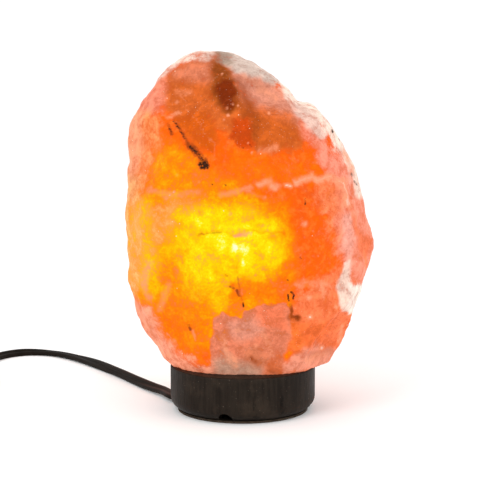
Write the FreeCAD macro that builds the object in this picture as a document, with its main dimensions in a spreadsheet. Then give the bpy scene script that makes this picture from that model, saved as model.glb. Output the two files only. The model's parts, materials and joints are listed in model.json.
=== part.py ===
"""Salt crystal lamp: a hewn lump of rock salt on a turned wooden base, lit by a small bulb inside.

The base axis is the Z axis and the table is z = 0. Lengths are millimetres, angles degrees.
Azimuths are measured from +X towards +Y.
"""
import FreeCAD, Part
import math
import os
import re

import Sketcher
from FreeCAD import Placement, Rotation, Vector

doc = FreeCAD.newDocument("SaltCrystalLamp")

UP = Vector(0, 0, 1)

# ---------------------------------------------------------------- the sheet of driving sizes

sheet = doc.addObject("Spreadsheet::Sheet", "Sizes")

SIZES = {
    "cutter_past": 1,  # how far each cutter runs past the face that it opens

    # Turned base, its felt and its grooves
    "base_diameter": 100,  # outer diameter of the wood
    "base_height": 30,  # thickness of the wood
    "base_foot_radius": 8.5,  # rounding of the lower edge
    "base_rim_radius": 1.5,  # rounding of the upper edge
    "bore_diameter": 40,  # hole that takes the bulb holder
    "felt_thickness": 1.5,  # felt ring under the wood
    "felt_inset": 5,  # edge of the felt, in from the edge of the wood
    "felt_bore_gap": 2,  # hole in the felt, clear of the bore all round
    "groove_width": 10,  # cable grooves, cut with a round-nosed cutter
    "groove_depth": 5.8,  # from the underside of the wood
    "exit_azimuth": 166,  # direction of the groove that the flex leaves by

    # Salt lump
    "salt_width": 170,  # side to side
    "salt_depth": 136,  # front to back
    "salt_height": 214.5,  # above the wood
    "salt_shift_x": 5,  # centre of the lump from the base axis
    "salt_shift_y": 5,  # centre of the lump from the base axis
    "cavity_diameter": 50,  # blind hole drilled for the bulb
    "cavity_depth": 84,  # straight part of the hole, under its round end

    # Screws that hold the base to the salt
    "screw_inset": 7,  # axis of each screw, out from the wall of the cavity
    "screw_diameter": 4,  # shank
    "screw_length": 42,  # shank under the head
    "screw_head_diameter": 8,  # pan head
    "screw_head_height": 2.8,  # pan head
    "screw_recess_depth": 6.5,  # from the underside of the wood to the head's seat
    "wall_plug_diameter": 7,  # wall plug in the salt
    "wall_plug_spare": 3.5,  # wall plug beyond the tip of its screw
    "push_gap": 0.1,  # radial gap of pieces pushed or screwed into each other

    # Bulb holder
    "holder_lift": 6.5,  # end cap above the top of the wood
    "holder_diameter": 23,  # shell and end cap
    "holder_length": 46,  # end cap and shell together
    "holder_wall": 1.5,  # shell
    "end_cap_thickness": 6,  # end cap under the shell
    "end_cap_spigot": 4,  # part of the end cap inside the shell
    "core_height": 30,  # moulded core that holds the contacts
    "core_well_depth": 18,  # well in the core that takes the bulb's cap
    "sleeve_thickness": 0.4,  # brass screw shell
    "thread_pitch": 2.54,  # small lamp thread
    "thread_depth": 0.5,  # small lamp thread
    "thread_gap": 0.25,  # between the bulb's thread and the screw shell's
    "sleeve_turns": 5,  # thread rings of the screw shell
    "terminal_offset": 5.6,  # terminal screws from the axis
    "terminal_screw_diameter": 3,  # shank
    "terminal_screw_length": 6,  # shank
    "terminal_tab_margin": 1,  # brass tab round each terminal screw
    "contact_diameter": 8,  # foot of the centre contact
    "contact_height": 1.3,  # spring contact above the floor of the well
    "grommet_diameter": 11,  # rubber grommet round the flex
    "clip_width": 12,  # spring strip
    "clip_thickness": 0.6,  # spring strip
    "clip_gap": 0.45,  # corners of each arm's bend from the wall of the bore
    "clip_plate_inset": 0.5,  # ends of the flat plate, in from the edge of the holder
    "clip_bend_drop": 9.5,  # bend of each arm below the top of the wood
    "clip_tab_inset": 7,  # finger tabs from the wall of the bore
    "clip_tab_lift": 3.5,  # finger tabs above the underside of the wood
    "rivet_edge": 3,  # clip rivets, in from the edge of the holder
    "rivet_diameter": 2.4,  # shank
    "rivet_head": 0.9,  # height of the rivet head

    # Bulb
    "bulb_gap": 0.2,  # between the bulb's contact and the holder's
    "bulb_cap_diameter": 11.9,  # over the thread
    "bulb_cap_turns": 5,  # thread rings of the cap
    "bulb_cap_wall": 0.35,  # brass
    "bulb_foot_height": 3,  # contact and glass insulator under the cap
    "bulb_contact_diameter": 4,  # solder contact
    "bulb_diameter": 22,  # widest glass
    "bulb_glass_length": 44,  # glass from inside the cap to the tip
    "bulb_neck_depth": 5.5,  # glass inside the cap
    "bulb_wall": 0.6,  # glass
    "lead_diameter": 0.6,  # lead wires
    "lead_foot": 1,  # lead wires from the axis, at the top of the stem
    "filament_radius": 6,  # arch of the filament
    "filament_diameter": 0.5,  # coiled filament, as one wire

    # Flat twin flex
    "flex_width": 7.2,  # over both cores
    "flex_thickness": 3.6,  # one core
    "flex_bend": 14,  # bend from the holder into the groove
    "flex_inner_end": 34,  # from the base axis to where the free flex starts

    # Dimmer in the flex
    "dimmer_length": 66,  # shells
    "dimmer_width": 30,  # shells
    "dimmer_height": 17,  # both shells together
    "dimmer_wall": 1.8,  # shells
    "dimmer_corner_radius": 8,  # corners in plan
    "dimmer_edge_radius": 2,  # outer edges, above and below
    "dimmer_inlet_x": -206,  # tip of the inlet grip
    "dimmer_inlet_y": 103,  # tip of the inlet grip
    "dimmer_azimuth": 264,  # direction of the flex through the dimmer
    "wheel_diameter": 27,  # thumb wheel
    "wheel_thickness": 5,  # thumb wheel
    "wheel_proud": 3,  # thumb wheel past the side of the case
    "wheel_tooth": 0.6,  # depth of the grip teeth
    "wheel_gap": 0.6,  # between the wheel and the shells
    "spindle_diameter": 6,  # spindle of the wheel
    "spindle_gap": 0.05,  # running clearance of the spindle
    "spindle_drop": 1,  # top of the spindle under the ceiling of the case
    "spindle_end_gap": 0.3,  # room over the top of the spindle
    "bearing_wall": 2,  # boss round the top of the spindle
    "potentiometer_diameter": 16,  # round body
    "board_end_gap": 1,  # ends of the board from the bosses of the case screws
    "board_side_gap": 1.2,  # sides of the board from the walls
    "board_thickness": 1.2,  # circuit board
    "board_lift": 0.2,  # board above the floor of the shell, spindle above the board
    "part_inset": 0.3,  # triac and capacitor from the ends of the board
    "triac_thickness": 4.5,  # case along the board
    "triac_width": 10,  # case across the board
    "triac_height": 8.5,  # case above the board
    "capacitor_thickness": 5,  # case along the board
    "capacitor_width": 12,  # case across the board
    "capacitor_height": 8,  # case above the board
    "case_screw_end": 9,  # case screws from the ends of the case
    "case_screw_side": 6,  # case screws from the sides of the case
    "case_screw_diameter": 2.4,  # shank
    "case_screw_head": 4.8,  # head diameter
    "case_screw_head_height": 1.6,  # head height
    "case_screw_recess": 2,  # seat of the head above the underside
    "case_screw_spare": 2.2,  # tip of the screw from the inside of the upper shell
    "case_pilot_spare": 0.5,  # screw hole beyond the tip of its screw
    "case_boss_diameter": 6,  # bosses that take the screws
    "grip_length": 20,  # outer part of each cord grip
    "grip_root_diameter": 11,  # cord grip at the shell
    "grip_tip_diameter": 8.6,  # cord grip at its tip
    "grip_neck_diameter": 8,  # cord grip in the wall of the shell
    "grip_neck_length": 5,  # cord grip in the wall of the shell

    # Coil of spare flex
    "coil_outer_radius": 42,  # centre line of the outer turn
    "coil_turn_gap": 0.8,  # between a turn and the next
    "coil_layer_gap": 0.6,  # between the two layers
    "coil_x": -260.6,  # centre of the coil
    "coil_y": -42,  # centre of the coil
    "tie_thickness": 0.6,  # strap round the coil
    "tie_width": 10,  # strap round the coil
    "tie_gap": 0.2,  # between the strap and the flex
    "tie_slack": 1,  # strap longer than the row of turns

    # Mains plug
    "plug_body_length": 24,  # moulded body
    "plug_body_width": 25,  # moulded body at the blades
    "plug_body_height": 13,  # moulded body
    "plug_neck_width": 14,  # moulded body at the flex
    "plug_sleeve_length": 22,  # strain relief
    "plug_sleeve_wall": 0.9,  # strain relief round the flex, above and below
    "plug_sleeve_width": 9.4,  # strain relief
    "plug_edge_radius": 2,  # edges of the moulded body
    "blade_length": 17,  # blade outside the body
    "blade_root": 8,  # blade inside the body
    "blade_height": 6.35,  # blade
    "blade_thickness": 1.5,  # blade
    "blade_spacing": 12.7,  # centre to centre
    "plug_x": -299,  # tip of the strain relief
    "plug_y": 36,  # tip of the strain relief
    "plug_azimuth": 86,  # direction of the flex into the plug
}

for row, (alias, value) in enumerate(SIZES.items(), 1):
    sheet.set("A%d" % row, alias)
    sheet.set("B%d" % row, str(value))
    sheet.setAlias("B%d" % row, alias)
doc.recompute()


def mm(alias):
    """The number that the sheet holds under an alias."""
    return float(sheet.get(alias))


WORD = re.compile(r"[a-z][a-z_]+")


def formula(text):
    """A formula in words, such as "base_diameter / 2", with each alias addressed in the sheet."""
    def address(found):
        word = found.group()
        return "Sizes." + word if word in SIZES else word
    return WORD.sub(address, str(text))


# ---------------------------------------------------------------- helpers

PARTS = []


def finished(thing, name):
    """Name an object as a sub-part of the lamp."""
    thing.Label = name
    PARTS.append(thing)
    return thing


def bind(thing, **formulas):
    """Bind properties of an object to formulas on the sheet."""
    for name, text in formulas.items():
        thing.setExpression(name, formula(text))
    return thing


def stand(thing, x=0, y=0, z=0, azimuth=0):
    """Bind the place of an object, and its turn about Z."""
    thing.setExpression("Placement.Base.x", formula(x))
    thing.setExpression("Placement.Base.y", formula(y))
    thing.setExpression("Placement.Base.z", formula(z))
    thing.Placement.Rotation = Rotation(UP, 0)
    thing.setExpression("Placement.Rotation.Angle", formula(azimuth))
    return thing


def cylinder(name, diameter, height, x=0, y=0, z=0):
    """An upright cylinder with its foot at x, y, z."""
    made = doc.addObject("Part::Cylinder", name)
    bind(made, Radius="(%s) / 2" % diameter, Height=height)
    return stand(made, x, y, z)


def box(name, length, width, height, x=0, y=0, z=0):
    """A box centred on x and y, standing on z."""
    made = doc.addObject("Part::Box", name)
    bind(made, Length=length, Width=width, Height=height)
    return stand(made, "(%s) - (%s) / 2" % (x, length), "(%s) - (%s) / 2" % (y, width), z)


def lying_cylinder(name, diameter, length, x, y, z):
    """A cylinder along X, from x, y, z towards +X."""
    made = doc.addObject("Part::Cylinder", name)
    bind(made, Radius="(%s) / 2" % diameter, Height=length)
    made.Placement = Placement(Vector(), Rotation(Vector(0, 1, 0), 90))
    for axis, text in zip("xyz", (x, y, z)):
        made.setExpression("Placement.Base." + axis, formula(text))
    return made


def cut(name, base, tools):
    """Base less the tools."""
    made = doc.addObject("Part::Cut", name)
    made.Base = base
    made.Tool = tools[0] if len(tools) == 1 else joined(name + "_tools", tools)
    return made


def joined(name, shapes):
    """Several shapes as one."""
    made = doc.addObject("Part::MultiFuse", name)
    made.Shapes = shapes
    return made


def group(name, members):
    """Like pieces that share one node, each still a solid of its own."""
    made = doc.addObject("Part::Compound", name)
    made.Links = members
    return made


def outline(body, plane, corners):
    """A closed sketch with straight sides; each corner is its two coordinates, as formulas."""
    sketch = body.newObject("Sketcher::SketchObject", body.Name + "_outline")
    support = [feature for feature in body.Origin.OriginFeatures if feature.Role == plane][0]
    sketch.AttachmentSupport = [(support, "")]
    sketch.MapMode = "FlatFace"
    count = len(corners)
    rough = [Vector(math.cos(2 * math.pi * i / count), math.sin(2 * math.pi * i / count), 0)
             for i in range(count)]
    for i in range(count):
        sketch.addGeometry(Part.LineSegment(rough[i], rough[(i + 1) % count]), False)
    for i in range(count):
        sketch.addConstraint(Sketcher.Constraint("Coincident", i, 2, (i + 1) % count, 1))
    for i, corner in enumerate(corners):
        for kind, text, first in (("DistanceX", corner[0], rough[i].x),
                                  ("DistanceY", corner[1], rough[i].y)):
            index = sketch.addConstraint(Sketcher.Constraint(kind, i, 1, first))
            sketch.setExpression("Constraints[%d]" % index, formula(text))
    return sketch


def turned(name, corners):
    """A piece turned about Z; corners are (radius, height) pairs."""
    body = doc.addObject("PartDesign::Body", name)
    sketch = outline(body, "XZ_Plane", corners)
    turning = body.newObject("PartDesign::Revolution", name + "_turning")
    turning.Profile = sketch
    turning.ReferenceAxis = (sketch, ["V_Axis"])
    turning.Angle = 360
    sketch.Visibility = False
    body.Tip = turning
    return body


def padded(name, plane, corners, length, midplane=False):
    """A piece of even thickness; corners are pairs of coordinates in the plane."""
    body = doc.addObject("PartDesign::Body", name)
    sketch = outline(body, plane, corners)
    pad = body.newObject("PartDesign::Pad", name + "_pad")
    pad.Profile = sketch
    pad.Midplane = midplane
    bind(pad, Length=length)
    body.Tip = pad
    return body


def rounded(body, radius, wanted):
    """Round those edges of a body's tip for which wanted(edge) is true."""
    doc.recompute()
    last = body.Tip
    names = ["Edge%d" % (i + 1) for i, edge in enumerate(last.Shape.Edges) if wanted(edge)]
    fillet = body.newObject("PartDesign::Fillet", body.Name + "_rounding")
    fillet.Base = (last, names)
    bind(fillet, Radius=radius)
    body.Tip = fillet
    return body


def at_height(z):
    """A test for edges that lie level at a height."""
    def wanted(edge):
        bounds = edge.BoundBox
        return abs(bounds.ZMin - z) < 0.01 and abs(bounds.ZMax - z) < 0.01
    return wanted


def around(name, make, count, first_azimuth, circle_diameter):
    """Copies of a piece on a circle about Z; make(copy_name, x, y) makes one."""
    made = []
    for i in range(count):
        turn = math.radians(first_azimuth + 360 * i / count)
        x = "%s / 2 * %.9f" % (circle_diameter, math.cos(turn))
        y = "%s / 2 * %.9f" % (circle_diameter, math.sin(turn))
        made.append(make("%s_%d" % (name, i + 1), x, y))
    return made


# ---------------------------------------------------------------- sizes that several pieces share

WOOD_TOP = "(felt_thickness + base_height)"
SCREW_SEAT = "(felt_thickness + screw_recess_depth)"
SCREW_CIRCLE = "(cavity_diameter + 2 * screw_inset)"
HOLDER_FOOT = "(%s + holder_lift)" % WOOD_TOP
SHELL_FOOT = "(%s + end_cap_thickness)" % HOLDER_FOOT
SHELL_TOP = "(%s + holder_length)" % HOLDER_FOOT
WELL_DIAMETER = "(bulb_cap_diameter + 2 * (thread_gap + thread_depth + sleeve_thickness + push_gap))"
CORE_TOP = "(%s - holder_wall - push_gap)" % SHELL_TOP
CORE_FOOT = "(%s - core_height)" % CORE_TOP
WELL_FLOOR = "(%s - core_well_depth)" % CORE_TOP
BULB_FOOT = "(%s + contact_height + bulb_gap)" % WELL_FLOOR
CAP_FOOT = "(%s + bulb_foot_height)" % BULB_FOOT
CAP_TOP = "(%s + thread_pitch * bulb_cap_turns)" % CAP_FOOT

GROOVE_STEP = 90
SCREW_COUNT = 4
SCREW_AZIMUTH = mm("exit_azimuth") - 1.5 * GROOVE_STEP
WALL_PLUG_LENGTH = "(%s + screw_length + wall_plug_spare - %s)" % (SCREW_SEAT, WOOD_TOP)


# ---------------------------------------------------------------- wooden base

def wooden_base():
    """Turned disc with a bore, four cable grooves underneath and recessed screw holes."""
    wood = turned("wood_blank", (
        ("bore_diameter / 2", "felt_thickness"),
        ("base_diameter / 2", "felt_thickness"),
        ("base_diameter / 2", WOOD_TOP),
        ("bore_diameter / 2", WOOD_TOP)))
    outer = mm("base_diameter") / 2

    def outer_edge(height):
        level = at_height(height)
        return lambda edge: level(edge) and edge.BoundBox.XMax > outer - 0.01

    rounded(wood, "base_foot_radius", outer_edge(mm("felt_thickness")))
    rounded(wood, "base_rim_radius", outer_edge(mm("felt_thickness") + mm("base_height")))

    tools = []
    for i in range(2):
        azimuth = "exit_azimuth + %d" % (i * GROOVE_STEP)
        straight = doc.addObject("Part::Box", "groove_sides_%d" % (i + 1))
        bind(straight, Length="base_diameter + 2 * cutter_past", Width="groove_width",
             Height="groove_depth - groove_width / 2 + felt_thickness")
        ceiling = doc.addObject("Part::Cylinder", "groove_ceiling_%d" % (i + 1))
        bind(ceiling, Radius="groove_width / 2", Height="base_diameter + 2 * cutter_past")
        ceiling.Placement = Placement(Vector(), Rotation(Vector(0, 1, 0), 90))
        bind(ceiling, **{"Placement.Base.y": "groove_width / 2",
                         "Placement.Base.z": "groove_depth - groove_width / 2 + felt_thickness"})
        groove = joined("groove_%d" % (i + 1), [straight, ceiling])
        turn = formula("cos(%s)" % azimuth), formula("sin(%s)" % azimuth)
        groove.Placement.Rotation = Rotation(UP, 0)
        groove.setExpression("Placement.Rotation.Angle", formula(azimuth))
        back = formula("base_diameter / 2 + cutter_past")
        side = formula("groove_width / 2")
        groove.setExpression("Placement.Base.x",
                             "-(%s) * %s + (%s) * %s" % (back, turn[0], side, turn[1]))
        groove.setExpression("Placement.Base.y",
                             "-(%s) * %s - (%s) * %s" % (back, turn[1], side, turn[0]))
        tools.append(groove)
    tools += around("screw_recess", lambda name, x, y: cylinder(
        name, "screw_head_diameter + 4 * push_gap", SCREW_SEAT, x, y),
        SCREW_COUNT, SCREW_AZIMUTH, SCREW_CIRCLE)
    tools += around("screw_hole", lambda name, x, y: cylinder(
        name, "screw_diameter + 2 * push_gap", WOOD_TOP + " + cutter_past", x, y),
        SCREW_COUNT, SCREW_AZIMUTH, SCREW_CIRCLE)
    finished(cut("wood_cut", wood, tools), "wood_base")

    felt_inner = "(bore_diameter / 2 + felt_bore_gap)"
    felt_outer = "(base_diameter / 2 - felt_inset)"
    finished(turned("felt", (
        (felt_inner, "0"), (felt_outer, "0"), (felt_outer, "felt_thickness"),
        (felt_inner, "felt_thickness"))), "base_felt")


# ---------------------------------------------------------------- salt lump

# Chisel cuts that hew the block: azimuth and tilt of the face that each leaves, and how far out
# it lies, as a share of the ellipsoid that the three salt sizes give.
CHISEL_CUTS = (
    (0, 55, 0.82), (0, 39, 0.825), (0, 27, 0.845), (0, 13, 0.88), (4, -19, 1.00), (0, -45, 1.22),
    (30, 48, 0.84), (28, 20, 0.85), (35, -8, 0.95), (30, -40, 1.15),
    (60, 60, 0.90), (58, 30, 0.92), (62, 6, 0.96), (65, -24, 1.05), (62, -46, 1.17),
    (92, 48, 0.93), (95, 16, 0.97), (98, -12, 1.00), (95, -42, 1.17),
    (125, 62, 1.02), (122, 32, 1.00), (130, 5, 0.97), (128, -26, 1.08), (126, -46, 1.18),
    (155, 45, 1.08), (152, 18, 1.04), (158, -14, 1.05), (155, -42, 1.17),
    (180, 87, 1.01), (180, 62, 1.10), (180, 46, 1.125), (180, 32, 1.105), (180, 22, 1.08),
    (180, 0, 0.97), (180, -19, 1.105), (180, -35, 1.165),
    (208, 52, 1.08), (205, 26, 1.05), (210, 4, 0.99), (207, -24, 1.10), (206, -44, 1.18),
    (238, 66, 1.02), (235, 36, 1.00), (240, 10, 0.97), (236, -14, 1.01), (238, -44, 1.18),
    (268, 50, 0.93), (265, 24, 0.93), (270, 3, 0.95), (272, -20, 1.03), (268, -46, 1.19),
    (300, 64, 0.90), (298, 38, 0.88), (302, 14, 0.91), (300, -10, 0.98), (304, -44, 1.17),
    (330, 50, 0.84), (332, 26, 0.85), (328, 2, 0.93), (335, -26, 1.03), (330, -46, 1.165),
)

# Shallow scoops that the chisel left across the faces: azimuth and tilt of the direction from the
# lump's centre to the middle of each, its width and its depth.
CHISEL_SCOOPS = (
    (0, -43, 22, 3.5), (12, 8, 40, 2.4), (5, 40, 34, 2.2), (2, 69, 22, 3.2), (38, -22, 44, 2.6),
    (45, 30, 46, 2.8), (80, -5, 50, 3.0), (84, 40, 40, 2.4), (112, 14, 42, 2.6), (120, -35, 44, 2.6),
    (150, 30, 42, 2.6), (160, -2, 40, 2.2), (182, 48, 30, 2.0), (196, -30, 40, 2.4), (214, 18, 44, 2.4),
    (232, -12, 38, 2.2), (238, 46, 44, 2.6), (262, 20, 48, 2.4), (266, -34, 42, 2.2), (276, -8, 40, 1.8),
    (290, 58, 38, 2.4), (300, 26, 42, 2.6), (318, -18, 40, 2.6), (336, 10, 34, 2.4), (330, -44, 36, 2.4),
)


def direction(azimuth, tilt):
    """The unit vector at an azimuth, tilted up from level."""
    return Rotation(UP, azimuth).multVec(Rotation(Vector(0, 1, 0), -tilt).multVec(Vector(1, 0, 0)))


def hewn_block():
    """A block of salt with a flat seat, hewn by the chisel cuts and scoops."""
    half = Vector(mm("salt_width") / 2, mm("salt_depth") / 2, mm("salt_height") / 2)
    seat = mm("felt_thickness") + mm("base_height")
    centre = Vector(mm("salt_shift_x"), mm("salt_shift_y"), seat + half.z)
    span = 4 * max(half)
    lump = Part.makeBox(span, span, span, Vector(centre.x - span / 2, centre.y - span / 2, seat))
    faces = []
    for azimuth, tilt, share in CHISEL_CUTS:
        facing = direction(azimuth, tilt)
        reach = share * Vector(facing.x * half.x, facing.y * half.y, facing.z * half.z).Length
        faces.append((facing, reach))
        waste = Part.makeBox(2 * span, 2 * span, 2 * span, Vector(-span, -span, 0))
        waste.Placement = Placement(centre + facing * reach, Rotation(UP, facing))
        lump = lump.cut(waste)
    top = seat + mm("salt_height")
    waste = Part.makeBox(2 * span, 2 * span, span, Vector(centre.x - span, centre.y - span, top))
    lump = lump.cut(waste)
    for azimuth, tilt, width, depth in CHISEL_SCOOPS:
        inward_from = direction(azimuth, tilt)
        surface = min(reach / facing.dot(inward_from) for facing, reach in faces
                      if facing.dot(inward_from) > 0.1)
        radius = (width ** 2 / 4 + depth ** 2) / (2 * depth)
        middle = centre + inward_from * (surface + radius - depth)
        lump = lump.cut(Part.makeSphere(radius, middle))
    return lump


def salt_lump():
    """The hewn lump, with its drilled cavity and the holes for the wall plugs."""
    block = doc.addObject("Part::Feature", "hewn_block")
    block.Shape = hewn_block()
    hole = cylinder("cavity_hole", "cavity_diameter", "cavity_depth", z=WOOD_TOP)
    dome = doc.addObject("Part::Sphere", "cavity_end")
    bind(dome, Radius="cavity_diameter / 2")
    stand(dome, z=WOOD_TOP + " + cavity_depth")
    plug_holes = around("plug_hole", lambda name, x, y: cylinder(
        name, "wall_plug_diameter + 2 * push_gap", WALL_PLUG_LENGTH, x, y, WOOD_TOP),
        SCREW_COUNT, SCREW_AZIMUTH, SCREW_CIRCLE)
    finished(cut("salt_cut", block, [hole, dome] + plug_holes), "salt_crystal")


def base_fixings():
    """Screws through the base and the wall plugs that they bite in."""
    def screw(name, x, y):
        head = cylinder(name + "_head", "screw_head_diameter", "screw_head_height", x, y,
                        SCREW_SEAT + " - screw_head_height")
        shank = cylinder(name + "_shank", "screw_diameter", "screw_length", x, y, SCREW_SEAT)
        return joined(name, [head, shank])

    def plug(name, x, y):
        body = cylinder(name + "_body", "wall_plug_diameter", WALL_PLUG_LENGTH, x, y, WOOD_TOP)
        hole = cylinder(name + "_bore", "screw_diameter + 2 * push_gap", WALL_PLUG_LENGTH, x, y,
                        WOOD_TOP)
        return cut(name, body, [hole])

    place = (SCREW_COUNT, SCREW_AZIMUTH, SCREW_CIRCLE)
    finished(group("screws", around("base_screw", screw, *place)), "base_screws")
    finished(group("plugs", around("wall_plug", plug, *place)), "salt_wall_plugs")


# ---------------------------------------------------------------- bulb holder

def thread_rings(foot, radius, turns, first="out"):
    """Corners of a thread seen in section, climbing from foot: crests and roots by turns."""
    corners = []
    for i in range(2 * turns + 1):
        deep = (i % 2 == 0) == (first == "in")
        depth = " - thread_depth" if deep else ""
        corners.append(("%s%s" % (radius, depth), "%s + thread_pitch * %.1f" % (foot, i / 2)))
    return corners


RIVET_OFFSET = "(holder_diameter / 2 - rivet_edge)"


def bulb_holder():
    """The moulded holder with its contacts; its local X points at the flex's exit."""
    outer = "holder_diameter / 2"
    inner = "(holder_diameter / 2 - holder_wall)"
    spigot = "(%s - push_gap)" % inner
    well = "(%s / 2)" % WELL_DIAMETER
    mouth = "(%s + push_gap)" % well
    holder = []

    holder.append(finished(turned("shell", (
        (inner, SHELL_FOOT), (outer, SHELL_FOOT), (outer, SHELL_TOP),
        (mouth, SHELL_TOP), (mouth, SHELL_TOP + " - holder_wall"),
        (inner, SHELL_TOP + " - holder_wall"))), "holder_shell"))

    cap = turned("cap_blank", (
        ("grommet_diameter / 2", HOLDER_FOOT), (outer, HOLDER_FOOT),
        (outer, SHELL_FOOT), (spigot, SHELL_FOOT),
        (spigot, SHELL_FOOT + " + end_cap_spigot"),
        ("grommet_diameter / 2", SHELL_FOOT + " + end_cap_spigot")))
    rivet_holes = [cylinder("rivet_hole_%d" % (i + 1), "rivet_diameter + 2 * push_gap",
                            "end_cap_thickness + end_cap_spigot + cutter_past", 0,
                            "%d * %s" % (side, RIVET_OFFSET), HOLDER_FOOT)
                   for i, side in enumerate((-1, 1))]
    holder.append(finished(cut("cap_cut", cap, rivet_holes), "holder_end_cap"))

    grommet = cylinder("grommet_blank", "grommet_diameter",
                       "end_cap_thickness + end_cap_spigot", z=HOLDER_FOOT)
    slot = box("grommet_slot", "flex_thickness + 2 * push_gap", "flex_width + 2 * push_gap",
               "end_cap_thickness + end_cap_spigot", z=HOLDER_FOOT)
    holder.append(finished(cut("grommet_cut", grommet, [slot]), "flex_grommet"))

    core = turned("core_blank", (
        ("0", CORE_FOOT), (spigot, CORE_FOOT), (spigot, CORE_TOP),
        (well, CORE_TOP), (well, WELL_FLOOR), ("0", WELL_FLOOR)))
    holes = [cylinder("contact_hole", "contact_diameter / 4 + 2 * push_gap", "core_height", z=CORE_FOOT)]
    for i, side in enumerate((-1, 1)):
        holes.append(cylinder("terminal_hole_%d" % (i + 1), "terminal_screw_diameter + 2 * push_gap",
                              "terminal_screw_length + cutter_past", 0,
                              "%d * terminal_offset" % side, CORE_FOOT))
    holder.append(finished(cut("core_cut", core, holes), "holder_core"))

    sleeve_outer = "(%s - push_gap)" % well
    sleeve_foot = "(%s - thread_pitch * sleeve_turns)" % CORE_TOP
    outside = thread_rings(sleeve_foot, sleeve_outer, int(mm("sleeve_turns")))
    inside = thread_rings(sleeve_foot, "(%s - sleeve_thickness)" % sleeve_outer,
                          int(mm("sleeve_turns")))
    holder.append(finished(turned("sleeve", outside + inside[::-1]), "holder_screw_shell"))

    half_pin = "contact_diameter / 8"
    holder.append(finished(turned("contact", (
        ("0", CORE_FOOT), (half_pin, CORE_FOOT), (half_pin, WELL_FLOOR),
        ("contact_diameter / 2", WELL_FLOOR),
        ("contact_diameter / 2", WELL_FLOOR + " + sleeve_thickness"),
        ("contact_diameter / 4", WELL_FLOOR + " + contact_height"),
        ("0", WELL_FLOOR + " + contact_height"))), "holder_centre_contact"))

    tabs = []
    screws = []
    for i, side in enumerate((-1, 1)):
        y = "%d * terminal_offset" % side
        tab = box("tab_%d" % (i + 1), "2 * terminal_screw_diameter",
                  "terminal_screw_diameter + 2 * terminal_tab_margin",
                  "2 * sleeve_thickness", 0, y, CORE_FOOT + " - 2 * sleeve_thickness")
        hole = cylinder("tab_hole_%d" % (i + 1), "terminal_screw_diameter + 2 * push_gap",
                        "2 * sleeve_thickness", 0, y, CORE_FOOT + " - 2 * sleeve_thickness")
        tabs.append(cut("terminal_%d" % (i + 1), tab, [hole]))
        head = cylinder("terminal_head_%d" % (i + 1), "1.6 * terminal_screw_diameter",
                        "terminal_screw_diameter / 2", 0, y,
                        CORE_FOOT + " - 2 * sleeve_thickness - terminal_screw_diameter / 2")
        shank = cylinder("terminal_shank_%d" % (i + 1), "terminal_screw_diameter",
                         "terminal_screw_length", 0, y, CORE_FOOT + " - 2 * sleeve_thickness")
        screws.append(joined("terminal_screw_%d" % (i + 1), [head, shank]))
    holder.append(finished(group("tabs", tabs), "holder_terminals"))
    holder.append(finished(group("terminal_screw_pair", screws), "terminal_screws"))
    holder.append(spring_clip())
    holder.append(clip_rivets())
    for piece in holder:
        piece.setExpression("Placement.Rotation.Angle", formula("exit_azimuth"))


def spring_clip():
    """A bent strip: a flat plate under the end cap and two arms that press on the bore."""
    plate = "(holder_diameter / 2 - clip_plate_inset)"
    # The corners of the bend, half the strip's width to each side, come nearest to the bore.
    bend = "sqrt((bore_diameter / 2 - clip_gap) ^ 2 - (clip_width / 2) ^ 2)"
    bend_height = WOOD_TOP + " - clip_bend_drop"
    tab = "(bore_diameter / 2 - clip_tab_inset)"
    tab_height = "felt_thickness + clip_tab_lift"
    arm = (
        (plate, HOLDER_FOOT),
        (bend, bend_height),
        (tab, tab_height),
        (tab + " - clip_thickness", tab_height),
        (bend + " - 1.15 * clip_thickness", bend_height),
        (plate + " - 0.7 * clip_thickness", HOLDER_FOOT + " - clip_thickness"))
    mirrored = tuple(("-(%s)" % y, z) for y, z in arm[::-1])
    strip = padded("clip_strip", "YZ_Plane", arm + mirrored, "clip_width", midplane=True)
    slot = box("clip_slot", "flex_thickness + 8 * push_gap", "flex_width + 8 * push_gap",
               "3 * clip_thickness", z=HOLDER_FOOT + " - 2 * clip_thickness")
    holes = [cylinder("clip_hole_%d" % (i + 1), "rivet_diameter + 2 * push_gap",
                      "3 * clip_thickness", 0, "%d * %s" % (side, RIVET_OFFSET),
                      HOLDER_FOOT + " - 2 * clip_thickness") for i, side in enumerate((-1, 1))]
    return finished(cut("clip_cut", strip, [slot] + holes), "spring_clip")


def clip_rivets():
    """Two rivets through the clip's plate and the end cap."""
    rivets = []
    for i, side in enumerate((-1, 1)):
        y = "%d * %s" % (side, RIVET_OFFSET)
        foot = HOLDER_FOOT + " - clip_thickness"
        head = cylinder("rivet_head_%d" % (i + 1), "1.7 * rivet_diameter", "rivet_head", 0, y,
                        foot + " - rivet_head")
        shank = cylinder("rivet_shank_%d" % (i + 1), "rivet_diameter",
                         "clip_thickness + end_cap_thickness + end_cap_spigot", 0, y, foot)
        rivets.append(joined("rivet_%d" % (i + 1), [head, shank]))
    return finished(group("rivets", rivets), "clip_rivets")


# ---------------------------------------------------------------- bulb

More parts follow.
